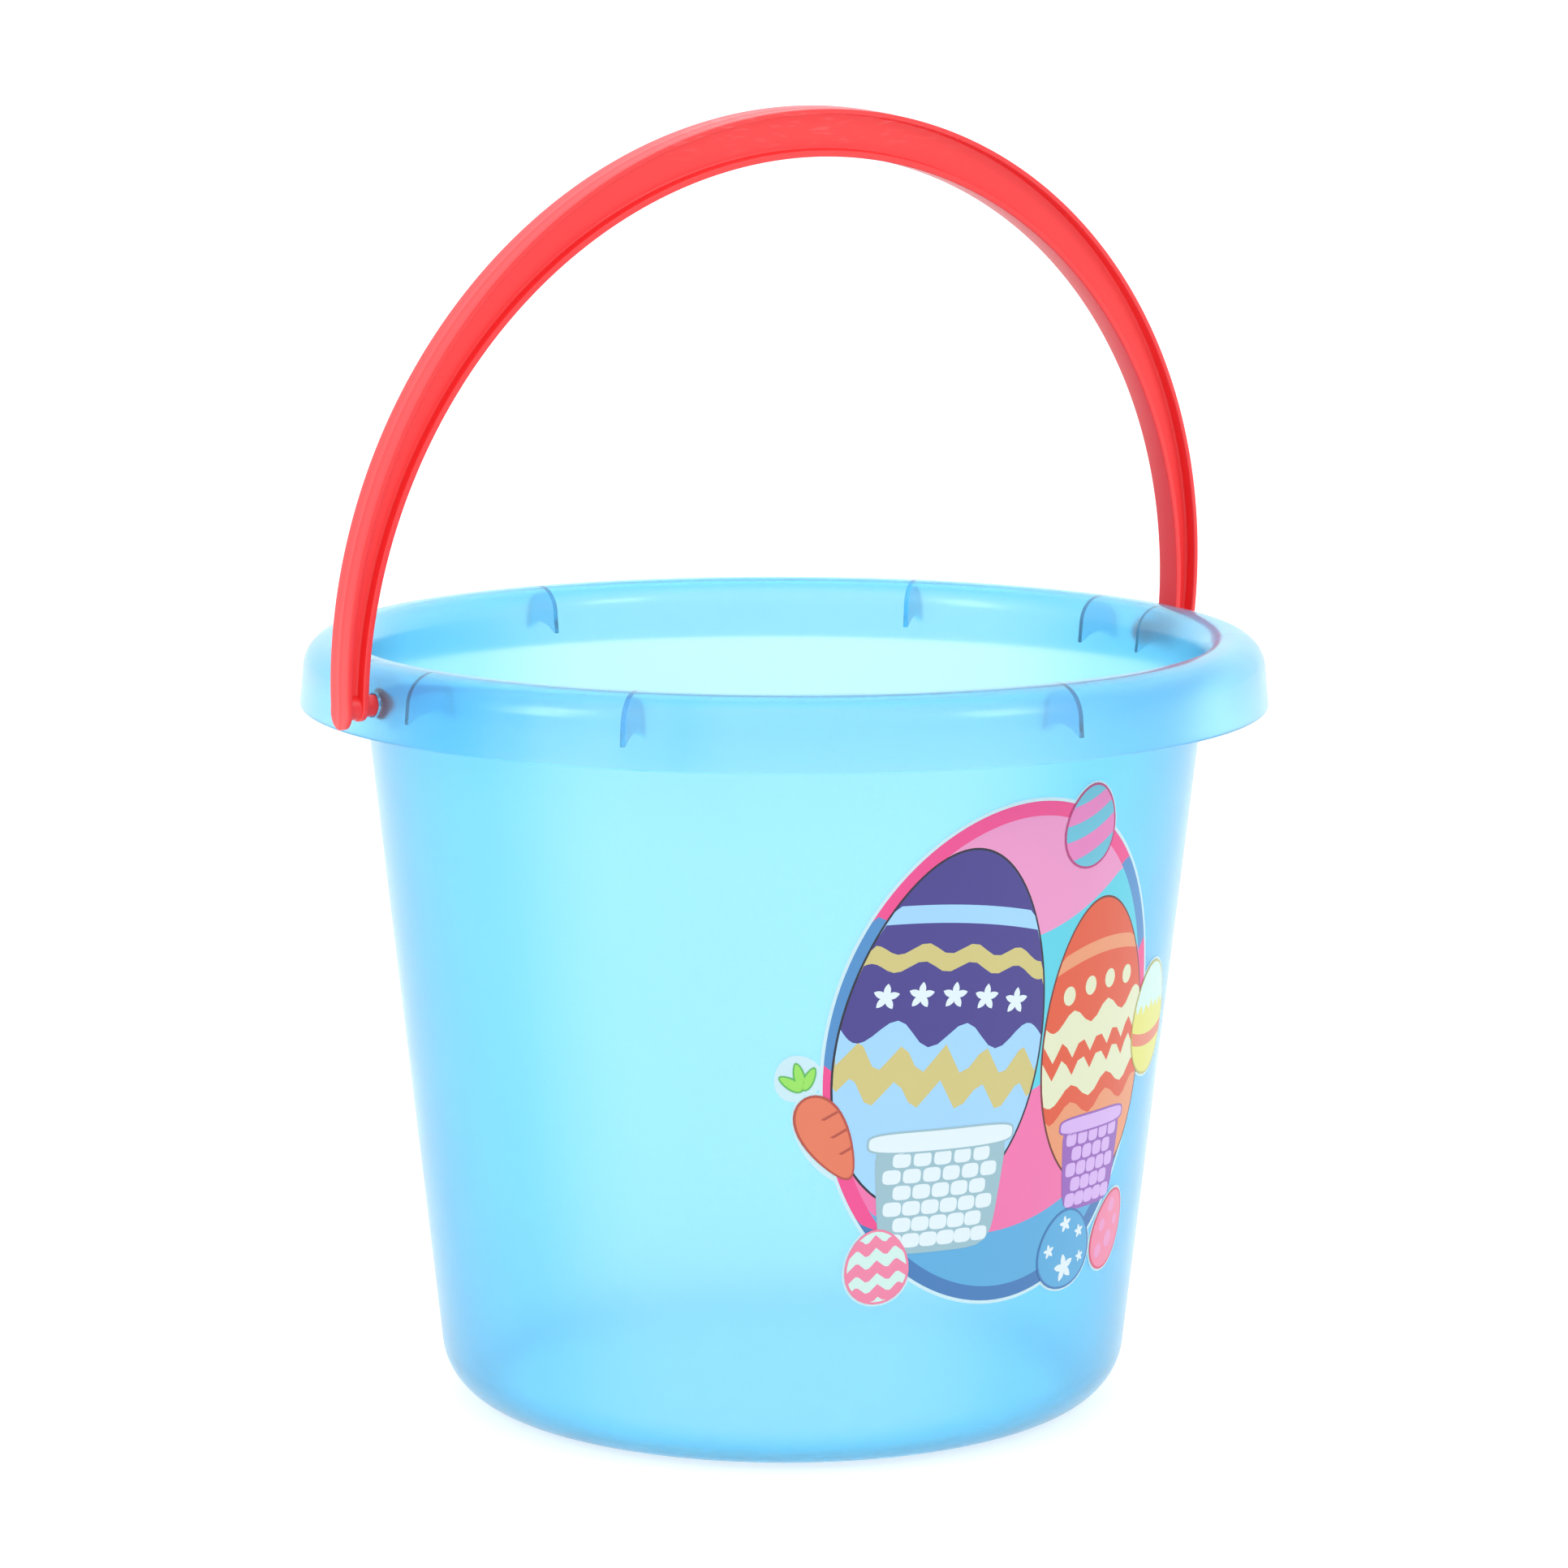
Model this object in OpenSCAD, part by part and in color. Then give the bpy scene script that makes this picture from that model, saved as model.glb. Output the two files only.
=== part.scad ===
// Sand bucket: a thin-walled conical pail with a hollow turned-down rim stiffened by ribs,
// a bail handle that swings on two snap-in pegs, and an oval label on the front of the wall.
// Origin: centre of the base, on the surface it stands on. +Z is up, the label faces -Y,
// and the handle swings about the X direction.

/* [Bucket] */
// Height from the base to the top of the rim
bucket_h = 184; // [160:1:230]
// Outer diameter that the sloping wall would have at the base
base_d = 162; // [130:1:196]
// Outer diameter of the wall level with the lower edge of the rim
wall_d = 199; // [164:1:240]
// Thickness of the wall
wall_t = 1.5; // [1.0:0.1:2.2]
// Thickness of the floor
floor_t = 1.8; // [1.2:0.1:3.0]
// Outside radius where the wall turns into the floor
base_edge_r = 14; // [8:0.5:18]

/* [Rim] */
// How far the lower edge of the rim stands out from the wall
rim_overhang = 15.5; // [12:0.5:20]
// Height of the rim, from its lower edge to its top
rim_h = 16.4; // [14:0.1:22]
// Thickness of the rim
rim_t = 1.4; // [1.0:0.1:2.0]
// Outside radius of the rim's outer shoulder
shoulder_r = 7.5; // [4:0.5:9]
// Radius of the bend from the inside of the wall into the rim
mouth_bend_r = 6.5; // [4:0.5:9]
// How far the rim's lower edge stands out beyond its shoulder
skirt_flare = 0.8; // [0.2:0.1:2.0]

/* [Ribs] */
// Thickness of each rib under the rim
rib_t = 1.2; // [0.8:0.1:2.0]
// Height of the ribs' lower corners above the rim's lower edge
rib_lift = 4.4; // [2:0.2:6]
// Rise of the ribs' arched lower edge
rib_arch = 2.8; // [1:0.2:4]
// Angle from the front and back ribs to the next ones
rib_turn = 53.5; // [40:0.5:62]
// Angle between each handle peg and the ribs on its two sides
rib_peg_turn = 6.5; // [5.5:0.5:10]

/* [Handle] */
// Gap between the rim and the handle's inner edge at the pegs
handle_gap = 2; // [1.5:0.5:6]
// Depth of the handle at the pegs, along the bucket's radius
handle_foot_depth = 5.9; // [5:0.1:10]
// Depth of the handle at its crown
handle_crown_depth = 11.3; // [7:0.1:14]
// Rise of the handle's crown above the pegs
handle_rise = 133.1; // [120:0.1:170]
// Width of the handle's outer flange
handle_w = 8; // [6.5:0.5:12]
// Width of the handle's inner flange
inner_flange_w = 6.8; // [5:0.2:10]
// Thickness of the outer flange
outer_flange_t = 1.3; // [1.0:0.1:3]
// Thickness of the inner flange
inner_flange_t = 1.6; // [1.0:0.1:2.4]
// Thickness of the web between the flanges
web_t = 2; // [1.2:0.1:3]
// How far the rounded feet of the handle reach below the pegs
foot_drop = 5; // [4:0.2:8]
// Lean of the handle towards the front as the bucket stands
handle_lean = 4.8; // [-10:0.2:10]

/* [Pegs] */
// Height of the pegs above the rim's lower edge
peg_lift = 7.9; // [6:0.1:10]
// Diameter of the pegs
peg_d = 5; // [4:0.1:6]
// Gap all round between a peg and its hole
peg_clearance = 0.3; // [0.2:0.05:0.6]
// Diameter of the snap head inside the rim
head_d = 7; // [6:0.1:8.4]
// Thickness of the snap head
head_t = 3; // [2:0.2:4]
// Gap between the snap head and the inside of the rim
head_gap = 0.3; // [0.2:0.05:0.8]
// Diameter of the boss that joins the flanges behind each peg
boss_d = 5.9; // [5.2:0.1:7.5]

/* [Label] */
// Width of the oval label, measured round the wall
label_w = 97; // [70:1:110]
// Height of the oval label
label_h = 119; // [80:1:125]
// Distance from the rim's lower edge down to the label
label_drop = 10.6; // [6:0.2:20]
// Thickness of the label's film
label_t = 0.25; // [0.2:0.05:0.5]

/* [Hidden] */
round_fn = 120;
arc_steps = 8;
overlap = 1;

// Turns of the ribs from the front: one there, one at the back, four on each side
side_turns = [rib_turn, 90 - rib_peg_turn, 90 + rib_peg_turn, 180 - rib_turn];
rib_turns = concat([0, 180], side_turns, -side_turns);

// Wall: a straight slope from the base to the rim
skirt_z = bucket_h - rim_h;
wall_slope = (wall_d - base_d) / 2 / skirt_z;
slope_len = sqrt(1 + wall_slope * wall_slope);
function wall_r(z) = base_d / 2 + wall_slope * z;
function inner_r(z) = wall_r(z) - wall_t * slope_len;

// Point at an angle on a circle about a centre, and an arc of such points
function on_circle(c, r, a) = c + r * [cos(a), sin(a)];
function arc(c, r, from, to) = [for (i = [0:arc_steps]) on_circle(c, r, from + (to - from) * i / arc_steps)];

// Centre of a rounding of radius r between a floor at height z and the wall line wall_in inside it
function edge_centre(z, r, wall_in) = [wall_r(z + r) - (wall_in + r) * slope_len, z + r];
wall_tilt = atan(wall_slope);
inner_edge_r = base_edge_r - wall_t;
base_centre = edge_centre(0, base_edge_r, 0);
floor_centre = edge_centre(floor_t, inner_edge_r, wall_t);

// Rim: a bend out of the wall, a nearly flat top, a shoulder and a flared skirt
rim_r = wall_d / 2 + rim_overhang;
rim_span = rim_r - skirt_flare - inner_r(bucket_h);
outer_r = min(shoulder_r, 0.6 * rim_span);
bend_r = min(mouth_bend_r, rim_span - outer_r);
bend_centre = [inner_r(bucket_h - bend_r) + bend_r * slope_len, bucket_h - bend_r];
skirt_slope = skirt_flare / (rim_h - outer_r);
skirt_tilt = atan(skirt_slope);
skirt_len = sqrt(1 + skirt_slope * skirt_slope);
shoulder_centre = [rim_r - skirt_flare - outer_r * skirt_len, bucket_h - outer_r];
// Inner radius of the rim at a height in its shoulder or skirt, without the skirt's flare
function under_rim_r(z) = let (rise = max(z - shoulder_centre.y, 0))
    shoulder_centre.x + sqrt(pow(outer_r - rim_t, 2) - rise * rise);

// Handle: outer and inner edges are arcs through both pegs' level and the crown
peg_z = skirt_z + peg_lift;
foot_in = rim_r + handle_gap;
foot_out = foot_in + handle_foot_depth;
crown_in = handle_rise - handle_crown_depth;
function arch_centre(half, rise) = (rise * rise - half * half) / (2 * rise);
boss_start = foot_in + inner_flange_t / 2;
head_end = under_rim_r(peg_z + head_d / 2) - head_gap;
head_start = head_end - head_t;

// Label: an oval with eggs and a carrot overlapping its border
label_z = skirt_z - label_drop - label_h / 2;
outline_steps = 40;
small_steps = 20;
// What overlaps the oval's border: centre as shares of the oval's width and height, then the
// width, height and tilt of each egg-shaped outline, the last two being the carrot and its leaves
label_eggs = [
    [0.18, 0.43, 18, 21, -6],
    [-0.33, -0.40, 16, 19, 6],
    [0.21, -0.42, 20, 20.5, 0],
    [0.40, -0.41, 15, 21, -26],
    [0.555, 0, 24, 29, 0],
    [-0.47, -0.14, 12.5, 24, 211],
    [-0.55, -0.02, 11, 11, 30]
];

// Point of the front view for a place u round the wall and v up from the label's centre
function on_wall(u, v) = let (r = wall_r(label_z + v), a = u / r * 180 / PI) [r * sin(a), label_z + v];
// Egg outline: an oval that narrows upwards, turned by tilt
function egg_point(w, h, t) = [w / 2 * cos(t) * (1 - 0.12 * sin(t)), h / 2 * sin(t)];
function turned(p, a) = [p.x * cos(a) - p.y * sin(a), p.x * sin(a) + p.y * cos(a)];
function egg_at(c, w, h, tilt, t) = c + turned(egg_point(w, h, t), tilt);

// Half section of the wall, floor and rim
module shell_section() {
    polygon(concat(
        [[0, 0]],
        arc(base_centre, base_edge_r, -90, -wall_tilt),
        arc(bend_centre, bend_r - wall_t, 180 - wall_tilt, 90),
        arc(shoulder_centre, outer_r - rim_t, 90, skirt_tilt),
        [[rim_r - rim_t * skirt_len, skirt_z], [rim_r, skirt_z]],
        arc(shoulder_centre, outer_r, skirt_tilt, 90),
        arc(bend_centre, bend_r, 90, 180 - wall_tilt),
        arc(floor_centre, inner_edge_r, -wall_tilt, -90),
        [[0, floor_t]]
    ));
}

// Outline of a rib: it fills the rim's hollow to the middle of the plastic round it
module rib_section() {
    lower_z = skirt_z + rib_lift;
    near_r = wall_r(lower_z) - wall_t / 2;
    far_r = rim_r - rim_t / 2 - skirt_slope * rib_lift;
    polygon(concat(
        arc(bend_centre, bend_r - wall_t / 2, 180 - wall_tilt, 90),
        arc(shoulder_centre, outer_r - rim_t / 2, 90, skirt_tilt),
        [for (i = [arc_steps:-1:0])
            [near_r + (far_r - near_r) * i / arc_steps, lower_z + rib_arch * sin(180 * i / arc_steps)]]
    ));
}

// One rib, at a turn measured from the front
module rib(turn) {
    rotate([0, 0, turn - 90])
        rotate([90, 0, 0])
            linear_extrude(rib_t, center = true) rib_section();
}

// A round bar along the bucket's radius towards +X, at the pegs' height
module radial_bar(d, from, to) {
    translate([from, 0, 0])
        rotate([0, 90, 0])
            cylinder(d = d, h = to - from, $fn = 48);
}

module on_both_sides() {
    for (side = [0, 180])
        rotate([0, 0, side]) children();
}

// Wall, floor, rim and ribs: one moulding
module bucket() {
    color([0.55, 0.87, 1.0])
        difference() {
            union() {
                rotate_extrude($fn = round_fn) shell_section();
                for (turn = rib_turns)
                    rib(turn);
            }
            on_both_sides()
                translate([0, 0, peg_z])
                    radial_bar(peg_d + 2 * peg_clearance, head_end - overlap, rim_r + overlap);
        }
}

// The part of the handle's arch between two arcs, above the pegs
module arch_band(out_half, out_rise, in_half, in_rise) {
    out_c = arch_centre(out_half, out_rise);
    in_c = arch_centre(in_half, in_rise);
    intersection() {
        difference() {
            translate([0, out_c]) circle(out_rise - out_c, $fn = round_fn);
            translate([0, in_c]) circle(in_rise - in_c, $fn = round_fn);
        }
        translate([-2 * out_half, 0]) square([4 * out_half, 2 * out_rise]);
    }
}

// An arch band made solid, standing across the front with its middle on the pegs' axis
module arch_solid(width, out_half, out_rise, in_half, in_rise) {
    rotate([90, 0, 0])
        linear_extrude(width, center = true) arch_band(out_half, out_rise, in_half, in_rise);
}

// Rounded feet of the two flanges: the outer one reaches below the peg, the inner one goes round it
module foot() {
    foot_z = handle_w / 2 - foot_drop;
    foot_x = foot_out - outer_flange_t;
    translate([0, 0, foot_z]) radial_bar(handle_w, foot_x, foot_out);
    translate([foot_x, -handle_w / 2, min(foot_z, 0)])
        cube([outer_flange_t, handle_w, abs(foot_z)]);
    radial_bar(inner_flange_w, foot_in, foot_in + inner_flange_t);
}

// Boss, peg and snap head at the foot of the handle
module peg() {
    radial_bar(boss_d, boss_start, foot_out - outer_flange_t / 2);
    radial_bar(peg_d, head_end - overlap, boss_start);
    translate([head_start, 0, 0])
        rotate([0, 90, 0])
            cylinder(d1 = peg_d - 1, d2 = head_d, h = head_t, $fn = 48);
}

// Bail handle: web, flanges, feet and pegs in one moulding
module handle() {
    color([0.98, 0.28, 0.29])
        translate([0, 0, peg_z])
            rotate([handle_lean, 0, 0]) {
                arch_solid(web_t, foot_out, handle_rise, foot_in, crown_in);
                arch_solid(handle_w, foot_out, handle_rise,
                    foot_out - outer_flange_t, handle_rise - outer_flange_t);
                arch_solid(inner_flange_w, foot_in + inner_flange_t, crown_in + inner_flange_t,
                    foot_in, crown_in);
                on_both_sides() {
                    foot();
                    peg();
                }
            }
}

// A closed outline in the front view, from places on the wall
module wall_outline(places) {
    polygon([for (p = places) on_wall(p.x, p.y)]);
}

module egg_outline(c, w, h, tilt) {
    wall_outline([for (i = [0:small_steps - 1]) egg_at(c, w, h, tilt, i * 360 / small_steps)]);
}

// Outline of the printed film: the oval, five eggs, a carrot and its leaves
module label_outline() {
    wall_outline([for (i = [0:outline_steps - 1])
        [label_w / 2 * cos(i * 360 / outline_steps), label_h / 2 * sin(i * 360 / outline_steps)]]);
    for (egg = label_eggs)
        egg_outline([egg[0] * label_w, egg[1] * label_h], egg[2], egg[3], egg[4]);
}

// Film on the front of the wall
module label() {
    low_z = label_z - 0.6 * label_h;
    high_z = skirt_z;
    color([0.96, 0.55, 0.72])
        intersection() {
            rotate_extrude($fn = round_fn)
                polygon([
                    [wall_r(low_z), low_z], [wall_r(low_z) + label_t, low_z],
                    [wall_r(high_z) + label_t, high_z], [wall_r(high_z), high_z]
                ]);
            rotate([90, 0, 0]) linear_extrude(rim_r) label_outline();
        }
}

bucket();
handle();
label();
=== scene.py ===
"""Sand bucket: a translucent pail, its red bail handle and a printed oval label.

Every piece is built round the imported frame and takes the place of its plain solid.
"""

import logging
import math
from dataclasses import dataclass, field
from enum import Enum
from typing import Callable

import bpy
import numpy as np
from mathutils import Matrix


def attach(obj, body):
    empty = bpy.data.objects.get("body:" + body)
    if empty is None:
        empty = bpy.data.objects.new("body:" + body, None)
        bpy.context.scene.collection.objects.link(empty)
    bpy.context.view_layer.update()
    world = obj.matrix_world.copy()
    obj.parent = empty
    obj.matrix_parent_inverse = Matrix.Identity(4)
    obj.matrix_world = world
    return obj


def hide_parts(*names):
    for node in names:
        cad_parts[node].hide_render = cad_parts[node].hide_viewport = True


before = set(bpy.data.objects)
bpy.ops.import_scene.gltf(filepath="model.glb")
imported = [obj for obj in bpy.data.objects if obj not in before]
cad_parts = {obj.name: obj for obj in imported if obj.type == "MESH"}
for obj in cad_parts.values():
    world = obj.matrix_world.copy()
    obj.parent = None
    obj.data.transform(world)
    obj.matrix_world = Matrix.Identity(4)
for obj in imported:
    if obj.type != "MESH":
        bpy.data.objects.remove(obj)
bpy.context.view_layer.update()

LOG = logging.getLogger("sand_bucket")
MM = 0.001
FULL_TURN = 2 * math.pi

Array = np.ndarray


# ---------------------------------------------------------------------------
# Meshes from arrays
# ---------------------------------------------------------------------------


@dataclass
class Surface:
    """Points and faces of one mesh: quads and triangles are rows of point numbers."""

    points: Array
    quads: Array = field(default_factory=lambda: np.zeros((0, 4), int))
    triangles: Array = field(default_factory=lambda: np.zeros((0, 3), int))

    def moved(self, matrix: Matrix) -> "Surface":
        """The same faces with every point multiplied by a 4 x 4 matrix."""
        m = np.array(matrix)
        return Surface(self.points @ m[:3, :3].T + m[:3, 3], self.quads, self.triangles)


def joined(parts: list[Surface]) -> Surface:
    """Puts several surfaces into one.

    Args:
        parts: The surfaces, in order.

    Returns:
        One surface with all their points and faces.
    """
    starts = np.cumsum([0] + [len(p.points) for p in parts[:-1]])
    return Surface(
        np.concatenate([p.points for p in parts]),
        np.concatenate([p.quads + s for p, s in zip(parts, starts)]),
        np.concatenate([p.triangles + s for p, s in zip(parts, starts)]),
    )


def grid_quads(rows: int, cols: int, wrap_rows: bool = False, wrap_cols: bool = False) -> Array:
    """Faces of a rows x cols grid of points, numbered row by row.

    Args:
        rows: Number of rows of points.
        cols: Number of points in a row.
        wrap_rows: Joins the last row to the first.
        wrap_cols: Joins the last column to the first.

    Returns:
        One row of four point numbers for each face.
    """
    r = np.arange(rows if wrap_rows else rows - 1)
    c = np.arange(cols if wrap_cols else cols - 1)
    r, c = (a.ravel() for a in np.meshgrid(r, c, indexing="ij"))
    r2, c2 = (r + 1) % rows, (c + 1) % cols
    return np.stack([r * cols + c, r * cols + c2, r2 * cols + c2, r2 * cols + c], axis=1)


def fan(centre: int, ring: Array) -> Array:
    """Triangles from one point to each side of a closed ring of points.

    Args:
        centre: Number of the one point.
        ring: Numbers of the ring's points, in order.

    Returns:
        One row of three point numbers for each side.
    """
    return np.stack([np.full(len(ring), centre), ring, np.roll(ring, -1)], axis=1)


def paint(obj: bpy.types.Object, name: str, colours: Array) -> None:
    """Gives an object's points a colour attribute.

    Args:
        obj: The object.
        name: Name of the attribute.
        colours: One row of linear red, green and blue for each point.
    """
    layer = obj.data.attributes.new(name, "FLOAT_COLOR", "POINT")
    rgba = np.concatenate([colours, np.ones((len(colours), 1))], axis=1)
    layer.data.foreach_set("color", rgba.astype(np.float32).ravel())


def make_object(name: str, surface: Surface, smooth_angle: float = 35.0) -> bpy.types.Object:
    """Puts a surface into a new object at the origin.

    Args:
        name: Name of the object and its mesh.
        surface: Points and faces, in metres.
        smooth_angle: Edges that turn by more than this many degrees stay crisp.

    Returns:
        The object, linked to the scene.
    """
    mesh = bpy.data.meshes.new(name)
    quads, triangles = surface.quads, surface.triangles
    corners = np.concatenate([quads.ravel(), triangles.ravel()]).astype(np.int32)
    lengths = np.concatenate([np.full(len(quads), 4), np.full(len(triangles), 3)])
    mesh.vertices.add(len(surface.points))
    mesh.vertices.foreach_set("co", surface.points.astype(np.float32).ravel())
    mesh.loops.add(len(corners))
    mesh.loops.foreach_set("vertex_index", corners)
    mesh.polygons.add(len(lengths))
    mesh.polygons.foreach_set("loop_start", (np.cumsum(lengths) - lengths).astype(np.int32))
    mesh.update(calc_edges=True)
    mesh.validate()
    obj = bpy.data.objects.new(name, mesh)
    bpy.context.scene.collection.objects.link(obj)
    smooth(obj, smooth_angle)
    return obj


def smooth(obj: bpy.types.Object, angle: float) -> None:
    """Shades an object smooth, apart from its crisp edges.

    Args:
        obj: The object.
        angle: Edges that turn by more than this many degrees stay crisp.
    """
    mesh = obj.data
    mesh.polygons.foreach_set("use_smooth", np.ones(len(mesh.polygons), bool))
    mesh.set_sharp_from_angle(angle=math.radians(angle))
    mesh.update()


class Cut(Enum):
    """How one solid acts on another."""

    ADD = "UNION"
    TAKE_AWAY = "DIFFERENCE"


def combine(obj: bpy.types.Object, other: Surface, cut: Cut, smooth_angle: float = 35.0) -> None:
    """Adds a solid to an object or cuts it away, and keeps the result as the object's mesh.

    Args:
        obj: The object that changes.
        other: The closed solid that acts on it.
        cut: Whether it is added or taken away.
        smooth_angle: Edges that turn by more than this many degrees stay crisp.
    """
    tool = make_object(obj.name + "_tool", other)
    modifier = obj.modifiers.new(cut.name.lower(), "BOOLEAN")
    modifier.operation, modifier.solver, modifier.object = cut.value, "MANIFOLD", tool
    graph = bpy.context.evaluated_depsgraph_get()
    result = bpy.data.meshes.new_from_object(obj.evaluated_get(graph))
    obj.modifiers.clear()
    old, tool_mesh = obj.data, tool.data
    obj.data = result
    result.name = obj.name
    result.materials.clear()
    bpy.data.objects.remove(tool)
    bpy.data.meshes.remove(tool_mesh)
    bpy.data.meshes.remove(old)
    smooth(obj, smooth_angle)


def arc(centre: tuple[float, float], radius: float, start: float, end: float, steps: int) -> Array:
    """Points at even angles on a circle: centre + radius * (cos a, sin a).

    Args:
        centre: Centre of the circle.
        radius: Its radius.
        start: First angle, in degrees.
        end: Last angle, in degrees.
        steps: Number of steps between them.

    Returns:
        One row for each point, both ends included.
    """
    a = np.radians(np.linspace(start, end, steps + 1))
    return np.stack([centre[0] + radius * np.cos(a), centre[1] + radius * np.sin(a)], axis=1)


def line(start: tuple[float, float], end: tuple[float, float], steps: int) -> Array:
    """Evenly spaced points on a straight line: (1 - t) * start + t * end.

    Args:
        start: First end.
        end: Last end.
        steps: Number of steps between them.

    Returns:
        One row for each point, without the ends themselves.
    """
    t = np.linspace(0, 1, steps + 1)[1:-1, None]
    return (1 - t) * np.array(start) + t * np.array(end)


def capped(points: Array) -> Surface:
    """Closed surface through rows of closed sections, with a fan over each end.

    Args:
        points: Rows x section points x 3, each section anticlockwise seen along the rows.

    Returns:
        The closed surface, with its faces outwards.
    """
    rows, cols = points.shape[:2]
    flat = points.reshape(-1, 3)
    ends = np.array([points[0].mean(axis=0), points[-1].mean(axis=0)])
    first, last = np.arange(cols), np.arange(cols) + (rows - 1) * cols
    return Surface(
        np.concatenate([flat, ends]),
        grid_quads(rows, cols, wrap_cols=True),
        np.concatenate([fan(len(flat), first[::-1]), fan(len(flat) + 1, last)]),
    )


def turned_solid(profile: Array, segments: int) -> Surface:
    """Solid of revolution about Z.

    Each profile point (r, z) is carried round as (r cos a, r sin a, z). The profile's first and
    last points lie on the axis, where the faces close as fans.

    Args:
        profile: Points (r, z) that start and end on the axis, anticlockwise in the r-z plane.
        segments: Number of steps in a full turn.

    Returns:
        The closed surface, with its faces outwards.
    """
    a = np.arange(segments) * FULL_TURN / segments
    r, z = profile[1:-1, :1], profile[1:-1, 1:]
    rings = np.stack([r * np.cos(a), r * np.sin(a), z + 0 * a], axis=2).reshape(-1, 3)
    poles = np.array([[0, 0, profile[0, 1]], [0, 0, profile[-1, 1]]])
    count = len(profile) - 2
    first, last = np.arange(segments), np.arange(segments) + (count - 1) * segments
    triangles = np.concatenate([fan(len(rings), first[::-1]), fan(len(rings) + 1, last)])
    return Surface(
        np.concatenate([rings, poles]), grid_quads(count, segments, wrap_cols=True), triangles
    )


def prism(outline: Array, thickness: float) -> Surface:
    """Flat plate with a closed outline (x, z), centred on the XZ plane: sides as quads, caps as fans.

    Args:
        outline: Points (x, z), anticlockwise seen from -Y, all in sight of their mean point.
        thickness: Thickness along Y.

    Returns:
        The closed surface.
    """
    n = len(outline)
    middle = outline.mean(axis=0)
    ring = [np.stack([outline[:, 0], np.full(n, y), outline[:, 1]], axis=1)
            for y in (-thickness / 2, thickness / 2)]
    centres = np.array([[middle[0], y, middle[1]] for y in (-thickness / 2, thickness / 2)])
    front, back = np.arange(n), np.arange(n, 2 * n)
    return Surface(
        np.concatenate([*ring, centres]),
        grid_quads(2, n, wrap_cols=True)[:, ::-1],
        np.concatenate([fan(2 * n, front), fan(2 * n + 1, back[::-1])]),
    )


# ---------------------------------------------------------------------------
# Shader groups that the finishes share
# ---------------------------------------------------------------------------


class Socket(Enum):
    """Kinds of group socket."""

    VECTOR = "NodeSocketVector"
    COLOUR = "NodeSocketColor"
    NUMBER = "NodeSocketFloat"


def new_group(name: str, takes: dict[str, tuple[Socket, object]],
              gives: dict[str, Socket]) -> tuple[bpy.types.NodeTree, bpy.types.Node, bpy.types.Node]:
    """Starts a shader node group.

    Args:
        name: Name of the group.
        takes: Each input's name with its kind and default value, None for the plain default.
        gives: Each output's name with its kind.

    Returns:
        The group, its input node and its output node.
    """
    tree = bpy.data.node_groups.new(name, "ShaderNodeTree")
    for label, (kind, default) in takes.items():
        socket = tree.interface.new_socket(name=label, in_out="INPUT", socket_type=kind.value)
        if default is not None:
            socket.default_value = default
    for label, kind in gives.items():
        tree.interface.new_socket(name=label, in_out="OUTPUT", socket_type=kind.value)
    return tree, tree.nodes.new("NodeGroupInput"), tree.nodes.new("NodeGroupOutput")


def noise(tree: bpy.types.NodeTree, vector: bpy.types.NodeSocket, scale: float,
          detail: float) -> bpy.types.Node:
    """Adds a noise texture.

    Args:
        tree: The node tree.
        vector: Its coordinates.
        scale: How many clouds it has in a unit of length.
        detail: How many finer layers it has.

    Returns:
        The texture's node.
    """
    node = tree.nodes.new("ShaderNodeTexNoise")
    node.inputs["Scale"].default_value = scale
    node.inputs["Detail"].default_value = detail
    tree.links.new(vector, node.inputs["Vector"])
    return node


def maths(tree: bpy.types.NodeTree, operation: str, *values: object) -> bpy.types.NodeSocket:
    """Adds a Math node.

    Args:
        tree: The node tree.
        operation: What it works out.
        *values: Its inputs, numbers or sockets.

    Returns:
        The socket of its result.
    """
    node = tree.nodes.new("ShaderNodeMath")
    node.operation = operation
    for slot, value in zip(node.inputs, values):
        if isinstance(value, bpy.types.NodeSocket):
            tree.links.new(value, slot)
        else:
            slot.default_value = value
    return node.outputs[0]


def mixed(tree: bpy.types.NodeTree, share: bpy.types.NodeSocket, first: object,
          second: object) -> bpy.types.NodeSocket:
    """Adds a mix of two colours: (1 - share) * first + share * second.

    Args:
        tree: The node tree.
        share: Share of the second colour.
        first: First colour, or its socket.
        second: Second colour, or its socket.

    Returns:
        The socket of the mixed colour.
    """
    node = tree.nodes.new("ShaderNodeMix")
    node.data_type = "RGBA"
    tree.links.new(share, node.inputs["Factor"])
    for slot, value in ((node.inputs["A"], first), (node.inputs["B"], second)):
        if isinstance(value, bpy.types.NodeSocket):
            tree.links.new(value, slot)
        else:
            slot.default_value = (*value, 1)
    return node.outputs["Result"]


def stepped(tree: bpy.types.NodeTree, value: bpy.types.NodeSocket, low: object, high: object,
            to_low: object = 0.0, to_high: object = 1.0) -> bpy.types.NodeSocket:
    """Adds a smooth step, t^2 (3 - 2 t) with t = (value - low) / (high - low).

    Args:
        tree: The node tree.
        value: The socket that is stepped.
        low: Where the step starts.
        high: Where it ends.
        to_low: Result below the step.
        to_high: Result above it.

    Returns:
        The socket of the result.
    """
    node = tree.nodes.new("ShaderNodeMapRange")
    node.interpolation_type = "SMOOTHSTEP"
    tree.links.new(value, node.inputs["Value"])
    names = ("From Min", "From Max", "To Min", "To Max")
    for name, number in zip(names, (low, high, to_low, to_high)):
        if isinstance(number, bpy.types.NodeSocket):
            tree.links.new(number, node.inputs[name])
        else:
            node.inputs[name].default_value = number
    return node.outputs["Result"]


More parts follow.
